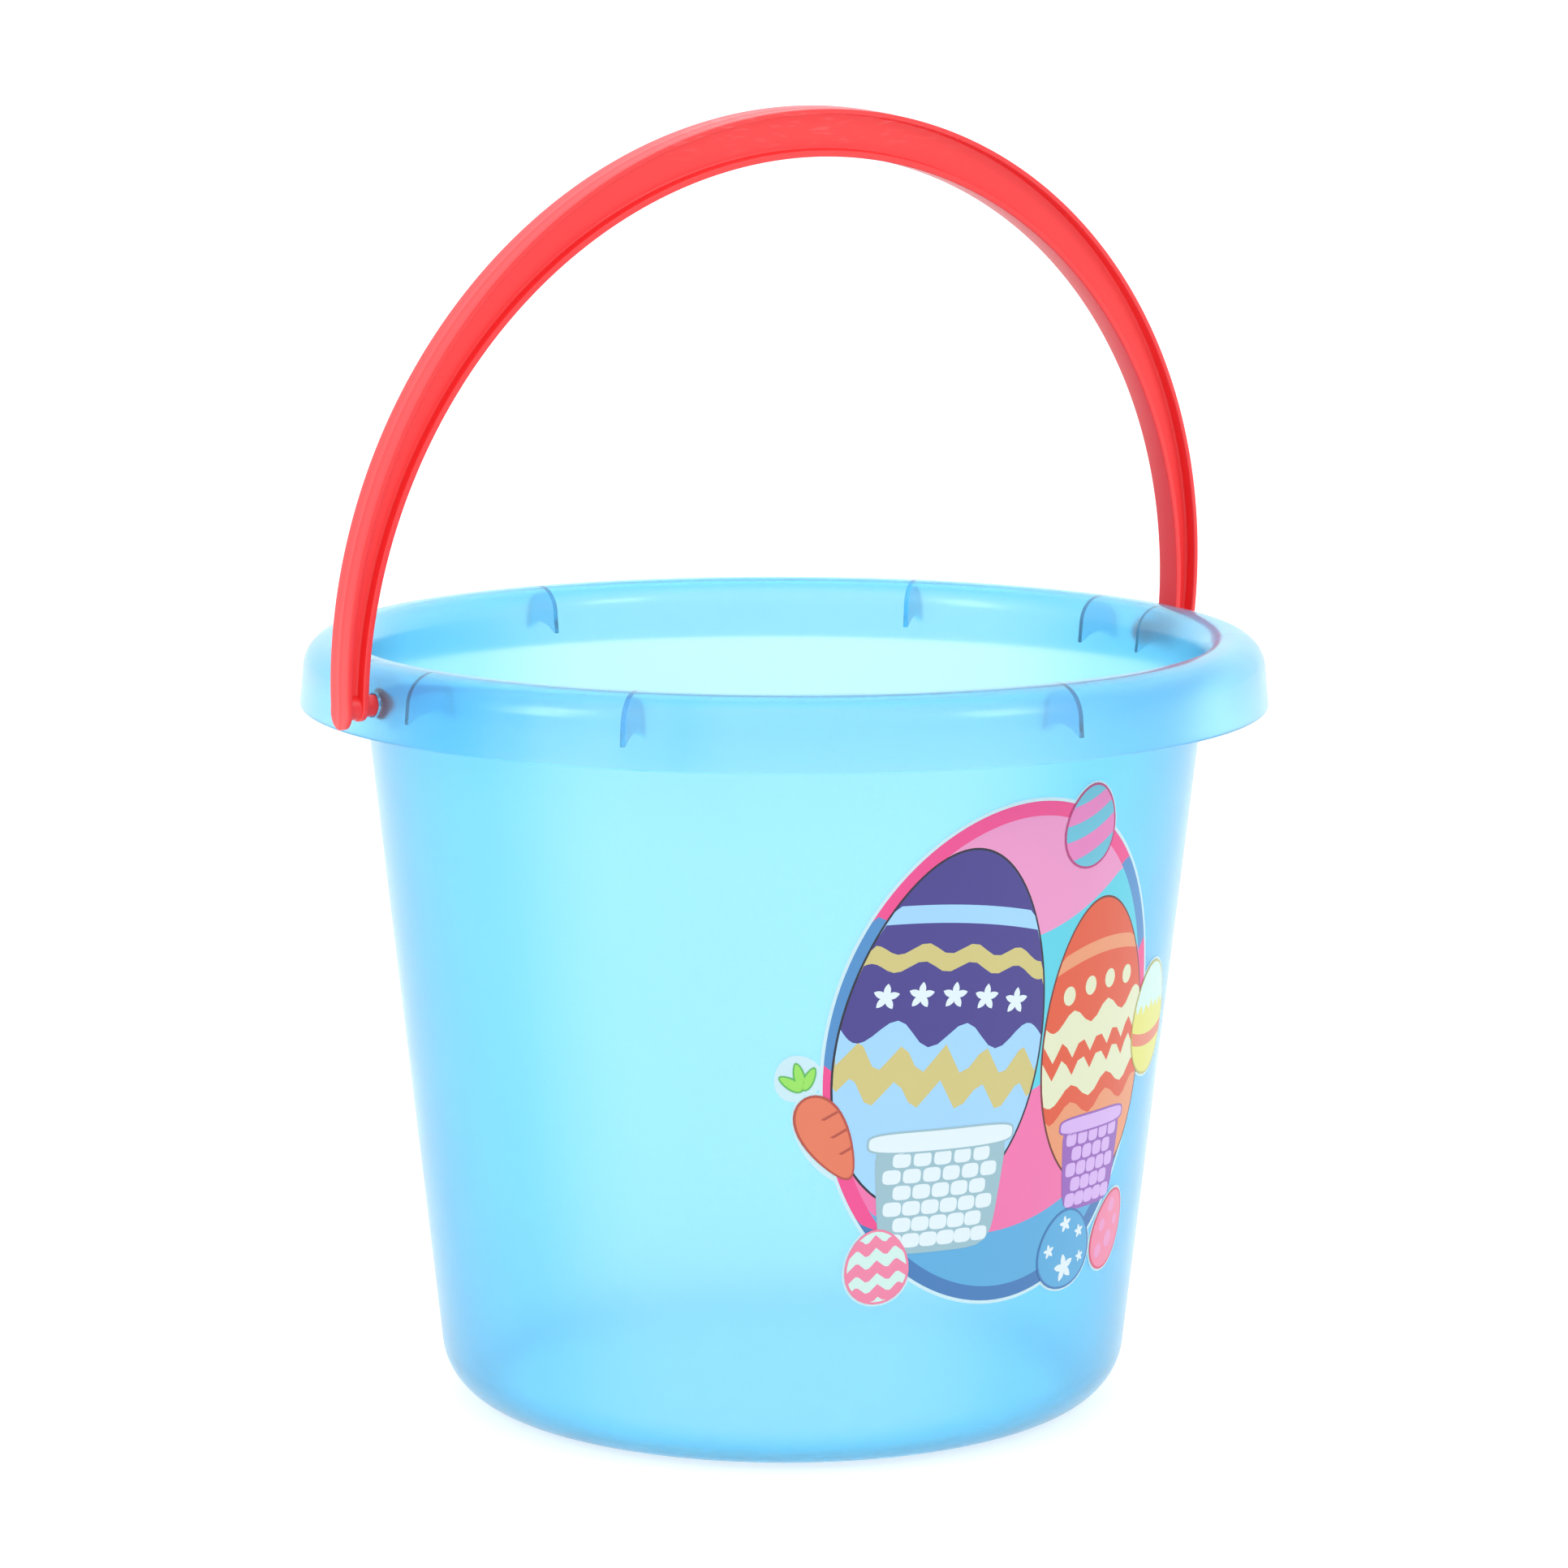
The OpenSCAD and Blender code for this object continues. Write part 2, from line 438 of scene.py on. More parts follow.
class Effects:
    """The shader groups, each made once and used by every finish that needs it."""

    @staticmethod
    def moulded_skin() -> bpy.types.NodeTree:
        """Skin of a moulded or rolled plastic: cloudy gloss with a fine grain.

        Roughness = middle + spread * (cloud noise - 1/2) + a quarter of that from the grain.
        Height = three parts of a fine grain and one of slow waves.

        Returns:
            The group, with outputs Roughness and Height.
        """
        name = "moulded_skin"
        if name in bpy.data.node_groups:
            return bpy.data.node_groups[name]
        tree, given, out = new_group(
            name,
            {"Vector": (Socket.VECTOR, None), "Middle": (Socket.NUMBER, 0.3),
             "Spread": (Socket.NUMBER, 0.1)},
            {"Roughness": Socket.NUMBER, "Height": Socket.NUMBER},
        )
        cloud_scale, grain_scale, wave_scale = 45, 1400, 60
        grain_share = wave_share = 0.25
        cloud = noise(tree, given.outputs["Vector"], cloud_scale, 4)
        grain = noise(tree, given.outputs["Vector"], grain_scale, 2)
        waves = noise(tree, given.outputs["Vector"], wave_scale, 2)
        both = maths(tree, "MULTIPLY_ADD", grain.outputs["Fac"], grain_share,
                     cloud.outputs["Fac"])
        centred = maths(tree, "SUBTRACT", both, (1 + grain_share) / 2)
        rough = maths(tree, "MULTIPLY_ADD", centred, given.outputs["Spread"], given.outputs["Middle"])
        fine = maths(tree, "MULTIPLY", grain.outputs["Fac"], 1 - wave_share)
        height = maths(tree, "MULTIPLY_ADD", waves.outputs["Fac"], wave_share, fine)
        tree.links.new(rough, out.inputs["Roughness"])
        tree.links.new(height, out.inputs["Height"])
        return tree

    @staticmethod
    def melt_mottle() -> bpy.types.NodeTree:
        """Slight clouds where the pigment mixed unevenly in the melt, drawn out along the flow.

        Share of the second colour = amount * smooth step of (a noise stretched along Z + the
        place's product with the shade lean + the bias), so that the clouds gather on the lean's side as
        a painted shade.

        Returns:
            The group, with output Colour.
        """
        name = "melt_mottle"
        if name in bpy.data.node_groups:
            return bpy.data.node_groups[name]
        tree, given, out = new_group(
            name,
            {"Vector": (Socket.VECTOR, None), "Colour": (Socket.COLOUR, None),
             "Second colour": (Socket.COLOUR, None), "Amount": (Socket.NUMBER, 1.0),
             "Drift": (Socket.VECTOR, None), "Bias": (Socket.NUMBER, 0.0)},
            {"Colour": Socket.COLOUR},
        )
        stretch = tree.nodes.new("ShaderNodeMapping")
        flow, cloud_scale, cloud_edges = 0.3, 14, (0.35, 0.65)
        stretch.inputs["Scale"].default_value = (1, 1, flow)
        tree.links.new(given.outputs["Vector"], stretch.inputs["Vector"])
        cloud = noise(tree, stretch.outputs["Vector"], cloud_scale, 3)
        lean = tree.nodes.new("ShaderNodeVectorMath")
        lean.operation = "DOT_PRODUCT"
        tree.links.new(given.outputs["Vector"], lean.inputs[0])
        tree.links.new(given.outputs["Drift"], lean.inputs[1])
        total = maths(tree, "ADD", cloud.outputs["Fac"], lean.outputs["Value"])
        step = stepped(tree, maths(tree, "ADD", total, given.outputs["Bias"]), *cloud_edges)
        share = maths(tree, "MULTIPLY", step, given.outputs["Amount"])
        result = mixed(tree, share, given.outputs["Colour"], given.outputs["Second colour"])
        tree.links.new(result, out.inputs["Colour"])
        return tree

    @staticmethod
    def rubbed_band() -> bpy.types.NodeTree:
        """Fine streaks inside a band of heights: wear round the bucket's base, a painted highlight on
        the handle's crown.

        Share = amount * band * streaks, where the band rises and falls over its soft edge and
        the streaks are a noise squeezed along Z.

        Returns:
            The group, with output Share.
        """
        name = "rubbed_band"
        if name in bpy.data.node_groups:
            return bpy.data.node_groups[name]
        tree, given, out = new_group(
            name,
            {"Vector": (Socket.VECTOR, None), "Middle height": (Socket.NUMBER, 0.0),
             "Half width": (Socket.NUMBER, 0.01), "Amount": (Socket.NUMBER, 0.5)},
            {"Share": Socket.NUMBER},
        )
        split = tree.nodes.new("ShaderNodeSeparateXYZ")
        tree.links.new(given.outputs["Vector"], split.inputs["Vector"])
        away = maths(tree, "SUBTRACT", split.outputs["Z"], given.outputs["Middle height"])
        away = maths(tree, "ABSOLUTE", away)
        band = stepped(tree, away, 0.0, given.outputs["Half width"], 1.0, 0.0)
        squeeze = tree.nodes.new("ShaderNodeMapping")
        squash, streak_scale, streak_edges = 7, 160, (0.52, 0.72)
        squeeze.inputs["Scale"].default_value = (1, 1, squash)
        tree.links.new(given.outputs["Vector"], squeeze.inputs["Vector"])
        streaks = noise(tree, squeeze.outputs["Vector"], streak_scale, 5)
        streak = stepped(tree, streaks.outputs["Fac"], *streak_edges)
        share = maths(tree, "MULTIPLY", maths(tree, "MULTIPLY", band, streak),
                      given.outputs["Amount"])
        tree.links.new(share, out.inputs["Share"])
        return tree


def placed(tree: bpy.types.NodeTree, group: bpy.types.NodeTree, vector: bpy.types.NodeSocket,
           **numbers: object) -> bpy.types.Node:
    """Puts a shader group into a material.

    Args:
        tree: The material's node tree.
        group: The group.
        vector: Coordinates for its Vector input.
        **numbers: Values or sockets for its other inputs, an underscore standing for a space.

    Returns:
        The group's node.
    """
    node = tree.nodes.new("ShaderNodeGroup")
    node.node_tree = group
    tree.links.new(vector, node.inputs["Vector"])
    for name, value in numbers.items():
        slot = node.inputs[name.replace("_", " ")]
        if isinstance(value, bpy.types.NodeSocket):
            tree.links.new(value, slot)
        else:
            slot.default_value = value if slot.type != "RGBA" else (*value, 1)
    return node


def new_material(name: str) -> tuple[bpy.types.Material, bpy.types.Node, bpy.types.NodeSocket]:
    """Starts a material: its Principled shader and Object coordinates.

    Args:
        name: Name of the material.

    Returns:
        The material, its shader and the coordinates' socket.
    """
    material = bpy.data.materials.new(name)
    material.use_nodes = True
    nodes = material.node_tree.nodes
    return material, nodes["Principled BSDF"], nodes.new("ShaderNodeTexCoord").outputs["Object"]


def give_skin(material: bpy.types.Material, shader: bpy.types.Node, vector: bpy.types.NodeSocket,
              middle: float, spread: float, strength: float, depth: float) -> None:
    """Links a moulded skin to a shader's Roughness and Normal.

    Args:
        material: The material.
        shader: Its Principled shader.
        vector: Object coordinates.
        middle: Middle roughness.
        spread: How far the roughness wanders.
        strength: Strength of the bump.
        depth: Depth of the bump in metres.
    """
    tree = material.node_tree
    skin = placed(tree, Effects.moulded_skin(), vector, Middle=middle, Spread=spread)
    bump = tree.nodes.new("ShaderNodeBump")
    bump.inputs["Strength"].default_value = strength
    bump.inputs["Distance"].default_value = depth
    tree.links.new(skin.outputs["Height"], bump.inputs["Height"])
    tree.links.new(bump.outputs["Normal"], shader.inputs["Normal"])
    tree.links.new(skin.outputs["Roughness"], shader.inputs["Roughness"])


# ---------------------------------------------------------------------------
# The bucket: one translucent moulding
# ---------------------------------------------------------------------------


@dataclass
class Bucket:
    """Wall, floor, hollow rim, ribs and peg holes.

    Sizes are in millimetres and turns in degrees from the front. The steps are how finely each
    stretch of the section is drawn.
    """

    height: float = 184.0
    base_radius: float = 81.0
    wall_radius: float = 99.5
    wall: float = 1.5
    floor: float = 1.8
    base_edge: float = 14.0
    overhang: float = 15.5
    rim_height: float = 16.4
    rim_wall: float = 1.4
    shoulder: float = 7.5
    mouth_bend: float = 6.5
    flare: float = 0.8
    lip_edge: float = 0.4
    rib: float = 1.2
    rib_lift: float = 4.4
    rib_arch: float = 2.8
    rib_turns: tuple[float, ...] = (0, 53.5, 83.5, 96.5, 126.5, 180, -126.5, -96.5, -83.5, -53.5)
    peg_lift: float = 7.9
    hole_radius: float = 2.8
    segments: int = 288
    floor_steps: int = 10
    wall_steps: int = 28
    skirt_steps: int = 5
    lip_steps: int = 4
    inner_arc_steps: int = 14
    outer_arc_steps: int = 18
    corner_steps: int = 12
    rib_steps: int = 24
    hole_segments: int = 64
    hole_reach: tuple[float, float] = (-6.0, 3.0)
    crisp: float = 30.0

    @property
    def skirt_z(self) -> float:
        """Height of the rim's lower edge."""
        return self.height - self.rim_height

    @property
    def slope(self) -> float:
        """How far the wall leans out for each millimetre of height."""
        return (self.wall_radius - self.base_radius) / self.skirt_z

    @property
    def rim_radius(self) -> float:
        """Outer radius of the rim's lower edge."""
        return self.wall_radius + self.overhang

    @property
    def peg_z(self) -> float:
        """Height of the handle's pegs."""
        return self.skirt_z + self.peg_lift

    def wall_r(self, z: float | Array) -> float | Array:
        """Outer radius of the wall at the height z: base radius + slope * z."""
        return self.base_radius + self.slope * z

    def inner_r(self, z: float) -> float:
        """Inner radius of the wall at the height z, one wall thickness in, square to the slope."""
        return self.wall_r(z) - self.wall * math.hypot(1, self.slope)

    def bend_centre(self) -> tuple[float, float]:
        """Centre of the bend that turns the wall outwards into the rim, touching wall and top."""
        z = self.height - self.mouth_bend
        return self.inner_r(z) + self.mouth_bend * math.hypot(1, self.slope), z

    def skirt_slope(self) -> float:
        """How far the rim's skirt leans out for each millimetre down."""
        return self.flare / (self.rim_height - self.shoulder)

    def shoulder_centre(self) -> tuple[float, float]:
        """Centre of the rim's outer shoulder, touching its top and its skirt."""
        reach = self.shoulder * math.hypot(1, self.skirt_slope())
        return self.rim_radius - self.flare - reach, self.height - self.shoulder

    def edge_centre(self, z: float, radius: float, depth: float) -> tuple[float, float]:
        """Centre of a rounding that touches a floor at z and the wall at a depth below its outside."""
        return self.wall_r(z + radius) - (depth + radius) * math.hypot(1, self.slope), z + radius

    def profile(self) -> Array:
        """Half section of the moulding as (r, z), from the underside's middle round to the floor's.

        The wall is straight, and every turn is an arc that touches the lines on its two sides.

        Returns:
            The section's points, anticlockwise.
        """
        lean = math.degrees(math.atan(self.slope))
        tilt = math.degrees(math.atan(self.skirt_slope()))
        base = self.edge_centre(0, self.base_edge, 0)
        inner_edge = self.base_edge - self.wall
        inside = self.edge_centre(self.floor, inner_edge, self.wall)
        bend, shoulder = self.bend_centre(), self.shoulder_centre()
        lip = self.lip_edge
        skirt_in = self.rim_radius - self.rim_wall * math.hypot(1, self.skirt_slope())
        fine, finer = self.inner_arc_steps, self.outer_arc_steps
        base_arc = arc(base, self.base_edge, -90, -lean, fine)
        under_bend = arc(bend, self.mouth_bend - self.wall, 180 - lean, 90, fine)
        under_shoulder = arc(shoulder, self.shoulder - self.rim_wall, 90, tilt, fine)
        lip_in = arc((skirt_in + lip, self.skirt_z + lip), lip, 180, 270, self.lip_steps)
        lip_out = arc((self.rim_radius - lip, self.skirt_z + lip), lip, 270, 360 + tilt,
                      self.lip_steps)
        over_shoulder = arc(shoulder, self.shoulder, tilt, 90, finer)
        over_bend = arc(bend, self.mouth_bend, 90, 180 - lean, finer)
        floor_arc = arc(inside, inner_edge, 360 - lean, 270, self.corner_steps)
        return np.concatenate([
            [[0, 0]], line((0, 0), base_arc[0], self.floor_steps), base_arc,
            line(base_arc[-1], under_bend[0], self.wall_steps), under_bend,
            under_shoulder, line(under_shoulder[-1], lip_in[0], self.skirt_steps), lip_in, lip_out,
            line(lip_out[-1], over_shoulder[0], self.skirt_steps), over_shoulder, over_bend,
            line(over_bend[-1], floor_arc[0], self.wall_steps), floor_arc,
            line(floor_arc[-1], (0, self.floor), self.floor_steps), [[0, self.floor]],
        ])

    def rib_outline(self) -> Array:
        """Outline of a rib as (r, z), anticlockwise, to the middle of the plastic round it.

        The lower edge is an arch: lift + arch * sin(180 * share of the way across).

        Returns:
            The outline's points.
        """
        lean = math.degrees(math.atan(self.slope))
        tilt = math.degrees(math.atan(self.skirt_slope()))
        low = self.skirt_z + self.rib_lift
        near = self.wall_r(low) - self.wall / 2
        far = self.rim_radius - self.rim_wall / 2 - self.skirt_slope() * self.rib_lift
        share = np.linspace(0, 1, self.rib_steps + 1)
        arch = np.stack(
            [near + (far - near) * share, low + self.rib_arch * np.sin(math.pi * share)], axis=1
        )
        shoulder = arc(self.shoulder_centre(), self.shoulder - self.rim_wall / 2, tilt, 90,
                       self.corner_steps)
        bend = arc(self.bend_centre(), self.mouth_bend - self.wall / 2, 90, 180 - lean,
                   self.corner_steps)
        return np.concatenate([arch, shoulder, bend])

    def ribs(self) -> Surface:
        """The ribs inside the rim, each turned from the front to its place."""
        plate = prism(self.rib_outline() * MM, self.rib * MM)
        return joined([
            plate.moved(Matrix.Rotation(math.radians(turn - 90), 4, "Z")) for turn in self.rib_turns
        ])

    def holes(self) -> Surface:
        """The two cutters that open the peg holes through the rim's skirt.

        Returns:
            Two round bars along X, one through each side of the skirt.
        """
        near, far = (self.rim_radius + reach for reach in self.hole_reach)
        radius = self.hole_radius
        bar = np.array([[0, near], [radius, near], [radius, far], [0, far]]) * MM
        lie = Matrix.Rotation(math.pi / 2, 4, "Y")
        place = Matrix.Translation((0, 0, self.peg_z * MM))
        cutter = turned_solid(bar, self.hole_segments)
        return joined([
            cutter.moved(place @ Matrix.Rotation(turn, 4, "Z") @ lie) for turn in (0, math.pi)
        ])

    def build(self) -> bpy.types.Object:
        """Makes the bucket's mesh, dresses it and puts it in place of the plain solid.

        Returns:
            The finished object.
        """
        obj = make_object("bucket_moulding", turned_solid(self.profile() * MM, self.segments))
        combine(obj, self.ribs(), Cut.ADD)
        combine(obj, self.holes(), Cut.TAKE_AWAY, self.crisp)
        obj.data.materials.append(TranslucentPlastic().build())
        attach(obj, "bucket")
        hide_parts("bucket")
        return obj


# ---------------------------------------------------------------------------
# The handle: one red moulding
# ---------------------------------------------------------------------------


@dataclass
class Handle:
    """Bail of I-section with rounded feet, bosses, pegs and snap heads. Sizes are in millimetres.

    Its arch is drawn in even steps from foot to foot. The seam is the height of the mould's
    parting line along the outer flange.
    """

    bucket: Bucket
    gap: float = 2.0
    foot_depth: float = 5.9
    crown_depth: float = 11.3
    rise: float = 133.1
    width: float = 8.0
    inner_width: float = 6.8
    outer_t: float = 1.3
    inner_t: float = 1.6
    web: float = 2.0
    corner: float = 0.35
    fillet: float = 0.6
    foot_drop: float = 5.0
    lean: float = 4.8
    peg: float = 2.5
    head: float = 3.5
    head_t: float = 3.0
    head_gap: float = 0.3
    boss: float = 2.95
    head_point: float = 1.5
    head_corner: float = 0.4
    head_round: float = 0.5
    seam: float = 0.06
    seam_top: float = 0.01
    seam_half: float = 0.22
    steps: int = 220
    fillet_steps: int = 4
    foot_steps: int = 13
    peg_segments: int = 64
    crisp: float = 30.0

    @property
    def foot_in(self) -> float:
        """Distance of the handle's inner edge from the middle, at the pegs' level."""
        return self.bucket.rim_radius + self.gap

    @property
    def foot_out(self) -> float:
        """Distance of the handle's outer edge from the middle, at the pegs' level."""
        return self.foot_in + self.foot_depth

    def edge(self, half: float, rise: float, share: Array) -> Array:
        """Points (x, z) along one edge, an arc through both feet and the crown.

        The arc's centre is (rise^2 - half^2) / (2 rise) above the pegs and its radius is what is
        left of the rise.

        Args:
            half: Distance of each foot from the middle.
            rise: Height of the crown above the pegs.
            share: Places along the arc, from 0 at the -X foot to 1 at the +X foot.

        Returns:
            One row for each place.
        """
        centre = (rise**2 - half**2) / (2 * rise)
        radius = rise - centre
        start = math.asin(-centre / radius)
        a = (math.pi - start) + (2 * start - math.pi) * share
        return np.stack([radius * np.cos(a), centre + radius * np.sin(a)], axis=1)

    def sweep(self, section: Array) -> Surface:
        """Carries a section along the arch.

        Each section point is (anchor, depth, side): it lies between the outer edge (anchor 0) and
        the inner edge (anchor 1), depth further in, and side across. point = (1 - anchor) * outer
        + anchor * inner + depth * inward + side * across.

        Args:
            section: The closed section, anticlockwise seen along the sweep.

        Returns:
            The closed surface, capped at both feet.
        """
        share = np.linspace(0, 1, self.steps)
        outer = self.edge(self.foot_out, self.rise, share)
        inner = self.edge(self.foot_in, self.rise - self.crown_depth, share)
        inward = (inner - outer) / np.linalg.norm(inner - outer, axis=1, keepdims=True)
        anchor, depth, side = (section[:, i][None, :, None] for i in range(3))
        flat = (1 - anchor) * outer[:, None] + anchor * inner[:, None] + depth * inward[:, None]
        points = np.concatenate([flat[..., :1], side + 0 * flat[..., :1], flat[..., 1:]], axis=2)
        return capped(points)

    def core_section(self) -> Array:
        """Web and inner flange, from inside the outer flange to the handle's inner face.

        Straight runs with small arcs where the web meets each flange and at the flange's corners.

        Returns:
            Rows of (anchor, depth, side), as the sweep takes them.
        """
        web, half, t = self.web / 2, self.inner_width / 2, self.inner_t
        f, c = self.fillet, self.corner
        root = arc((self.outer_t + f, web + f), f, 180, 270, self.fillet_steps)
        inner = np.concatenate([
            arc((-t - f, web + f), f, 270, 360, self.fillet_steps),
            arc((-t + c, half - c), c, 180, 90, self.fillet_steps),
            arc((-c, half - c), c, 90, 0, self.fillet_steps),
        ])
        side = np.concatenate([
            [[0, self.outer_t / 2, web + f]],
            np.column_stack([np.zeros(len(root)), root]),
            np.column_stack([np.ones(len(inner)), inner]),
        ])
        return np.concatenate([side, (side * [1, 1, -1])[::-1]])

    def strip(self) -> Surface:
        """Outer flange with its rounded feet.

        A rounded bar, outer_t deep, follows the outer edge, runs straight down past each peg and
        narrows as sqrt(1 - s^2), so that each foot ends in a half round.

        Returns:
            The closed surface.
        """
        half, c, seam = self.width / 2, self.corner, self.seam
        lower, straight_top, straight_steps, thinnest = half - self.foot_drop, -0.4, 4, 1e-5
        s = np.sin(np.linspace(0, math.pi / 2, self.foot_steps + 1))[1:]
        straight = np.linspace(straight_top, lower, straight_steps)
        z_leg = np.concatenate([straight, lower - half * s])
        narrowing = np.sqrt(np.maximum(1 - s**2, thinnest))
        width_leg = np.concatenate([np.ones(straight_steps), narrowing])
        arch = self.edge(self.foot_out, self.rise, np.linspace(0, 1, self.steps))
        left = np.stack([np.full(len(z_leg), -self.foot_out), z_leg], axis=1)[::-1]
        right = left[::-1] * [-1, 1]
        path = np.concatenate([left, arch, right])
        width = np.concatenate([width_leg[::-1], np.ones(self.steps), width_leg])
        along = np.gradient(path, axis=0)
        along /= np.linalg.norm(along, axis=1, keepdims=True)
        inward = np.stack([along[:, 1], -along[:, 0]], axis=1)
        face = np.concatenate([
            arc((c + seam, half - c), c, 180, 90, self.fillet_steps + 1),
            arc((self.outer_t - c, half - c), c, 90, 0, self.fillet_steps + 1),
        ])
        ridge = [[self.seam_top, 0], [seam, self.seam_half], [seam, half / 2]]
        loop = np.concatenate([ridge, face])
        loop = np.concatenate([loop, (loop[1:] * [1, -1])[::-1]])
        depth, side = loop[:, 0][None, :, None], loop[:, 1][None, :, None]
        flat = path[:, None] + depth * inward[:, None]
        across = side * width[:, None, None]
        return capped(np.concatenate([flat[..., :1], across, flat[..., 1:]], axis=2))

    def head_end(self) -> float:
        """Where the snap head meets its peg: a small gap short of the rim's inside at its top.

        The inside is the shoulder's inner arc, x = centre + sqrt(radius^2 - rise^2).

        Returns:
            Its distance from the bucket's axis.
        """
        rim = self.bucket
        centre_x, centre_z = rim.shoulder_centre()
        rise = max(rim.peg_z + self.head - centre_z, 0)
        return centre_x + math.sqrt((rim.shoulder - rim.rim_wall) ** 2 - rise**2) - self.head_gap

    def pegs(self) -> Surface:
        """A boss, a peg, a snap head and the inner flange's round end, turned about the pegs' axis.

        Returns:
            The two closed surfaces, one for each foot.
        """
        head_end, head_tip = self.head_end(), self.head_end() - self.head_t
        flange, half, c = self.foot_in, self.inner_width / 2, self.corner
        root = self.foot_out - self.outer_t / 2
        edge, dome = self.head_corner, self.head_round
        outline = np.concatenate([
            [[0, head_tip]],
            arc((self.head_point, head_tip + dome), dome, 270, 320, 3),
            arc((self.head - edge, head_end - dome), edge, 330, 450, 5),
            [[self.peg, head_end - (dome - edge)]],
            line((self.peg, head_end), (self.peg, flange), 3),
            [[self.peg, flange]],
            arc((half - c, flange + c), c, 270, 360, self.fillet_steps),
            arc((half - c, flange + self.inner_t - c), c, 0, 90, self.fillet_steps),
            [[self.boss, flange + self.inner_t], [self.boss, root], [0, root]],
        ])
        solid = turned_solid(outline, self.peg_segments)
        lie = Matrix.Rotation(math.pi / 2, 4, "Y")
        return joined([solid.moved(Matrix.Rotation(turn, 4, "Z") @ lie) for turn in (0, math.pi)])

    def build(self) -> bpy.types.Object:
        """Makes the handle's mesh at its rest lean, dresses it and replaces the plain solid.

        Returns:
            The finished object.
        """
        place = Matrix.Translation((0, 0, self.bucket.peg_z * MM)) @ Matrix.Rotation(
            math.radians(self.lean), 4, "X") @ Matrix.Scale(MM, 4)
        obj = make_object("handle_moulding", self.sweep(self.core_section()).moved(place))
        combine(obj, self.strip().moved(place), Cut.ADD)
        combine(obj, self.pegs().moved(place), Cut.ADD, self.crisp)
        obj.data.materials.append(RedPlastic().build())
        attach(obj, "handle")
        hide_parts("handle")
        return obj


# ---------------------------------------------------------------------------
# The label: a printed film, each colour a thin layer of its own
# ---------------------------------------------------------------------------


class Ink(Enum):
    """Colours of the print, as red, green and blue from 0 to 255."""

    FILM = (214, 240, 246)
    HOT_PINK = (255, 74, 146)
    RING_BLUE = (82, 146, 205)
    DEEP_BLUE = (66, 124, 186)
    PALE_PINK = (250, 154, 202)
    CYAN = (96, 214, 232)
    PINK = (255, 118, 176)
    BLUE = (94, 176, 224)
    OUTLINE = (28, 24, 44)
    NAVY = (72, 58, 142)
    SKY = (172, 218, 255)
    TAN = (222, 202, 128)
    RUST = (118, 42, 34)
    ORANGE = (240, 88, 48)
    PEACH = (250, 158, 112)
    CREAM = (242, 238, 200)
    WHITE = (240, 247, 250)
    GREY_BLUE = (164, 196, 206)
    LILAC = (228, 184, 242)
    PURPLE = (160, 98, 190)
    PLUM = (196, 58, 128)
    ROSE = (244, 132, 194)
    AQUA = (108, 196, 218)
    MINT = (222, 246, 236)
    CORAL = (255, 134, 168)
    YELLOW = (242, 232, 110)
    GOLD = (206, 190, 88)
    CARROT = (244, 124, 88)
    BRICK = (194, 78, 62)
    LEAF = (162, 232, 96)
    GREEN = (96, 190, 86)
    RED_PINK = (238, 66, 116)

    @property
    def linear(self) -> Array:
        """The colour in linear light, by the usual sRGB curve."""
        c = np.array(self.value) / 255
        return np.where(c <= 0.04045, c / 12.92, ((c + 0.055) / 1.055) ** 2.4)


@dataclass(frozen=True)
class Motif:
    """A shape printed on the film, in millimetres round the wall and up from the film's centre.

    Its own coordinates (p, q) run from -1 to 1. The edge is |p|^power + |q|^power = 1, its width
    is shared out by 1 - narrow * q, so that an egg narrows upwards, and tilt turns it.
    """

    centre: tuple[float, float]
    size: tuple[float, float]
    tilt: float = 0.0
    narrow: float = 0.12
    power: float = 2.0
    points: int = 0
    dent: float = 0.0

    def place(self, p: Array, q: Array, grow: float = 0.0) -> Array:
        """Turns own coordinates into places (u, v) on the film.

        Args:
            p: Own coordinates across.
            q: Own coordinates upwards.
            grow: How far the shape is grown all round, in millimetres.

        Returns:
            One place for each pair.
        """
        half_w, half_h = self.size[0] / 2 + grow, self.size[1] / 2 + grow
        x, y = half_w * p * (1 - self.narrow * q), half_h * q
        a = math.radians(self.tilt)
        return np.stack([self.centre[0] + x * math.cos(a) - y * math.sin(a),
                         self.centre[1] + x * math.sin(a) + y * math.cos(a)], axis=-1)

    def edge(self, t: Array) -> Array:
        """Own coordinates of the edge, with the points of a star cut in.

        The radius is (|cos t|^power + |sin t|^power)^(-1 / power), times 1 - dent * w for a star,
        where w is a triangle wave that is 0 at each point.

        Args:
            t: Angles round the middle.

        Returns:
            One pair (p, q) for each angle.
        """
        c, s = np.cos(t), np.sin(t)
        radius = (np.abs(c) ** self.power + np.abs(s) ** self.power) ** (-1 / self.power)
        wave = np.abs(((t - math.pi / 2) * self.points / FULL_TURN + 0.5) % 1 - 0.5) * 2
        radius *= 1 - self.dent * wave
        return np.stack([c * radius, s * radius], axis=-1)

    def reach(self, p: Array) -> Array:
        """How far the edge stands from the middle line at p: (1 - |p|^power)^(1 / power)."""
        return np.maximum(1 - np.abs(p) ** self.power, 0) ** (1 / self.power)

    def child(self, p: float, q: float, size: tuple[float, float], **changes: float) -> "Motif":
        """A small shape on this one, turned with it.

        Args:
            p: Own coordinate of its centre across.
            q: Own coordinate of its centre upwards.
            size: Its width and height.
            **changes: Its other fields.

        Returns:
            The small shape.
        """
        centre = tuple(self.place(np.array(p), np.array(q)))
        return Motif(centre, size, tilt=changes.pop("tilt", self.tilt), **changes)


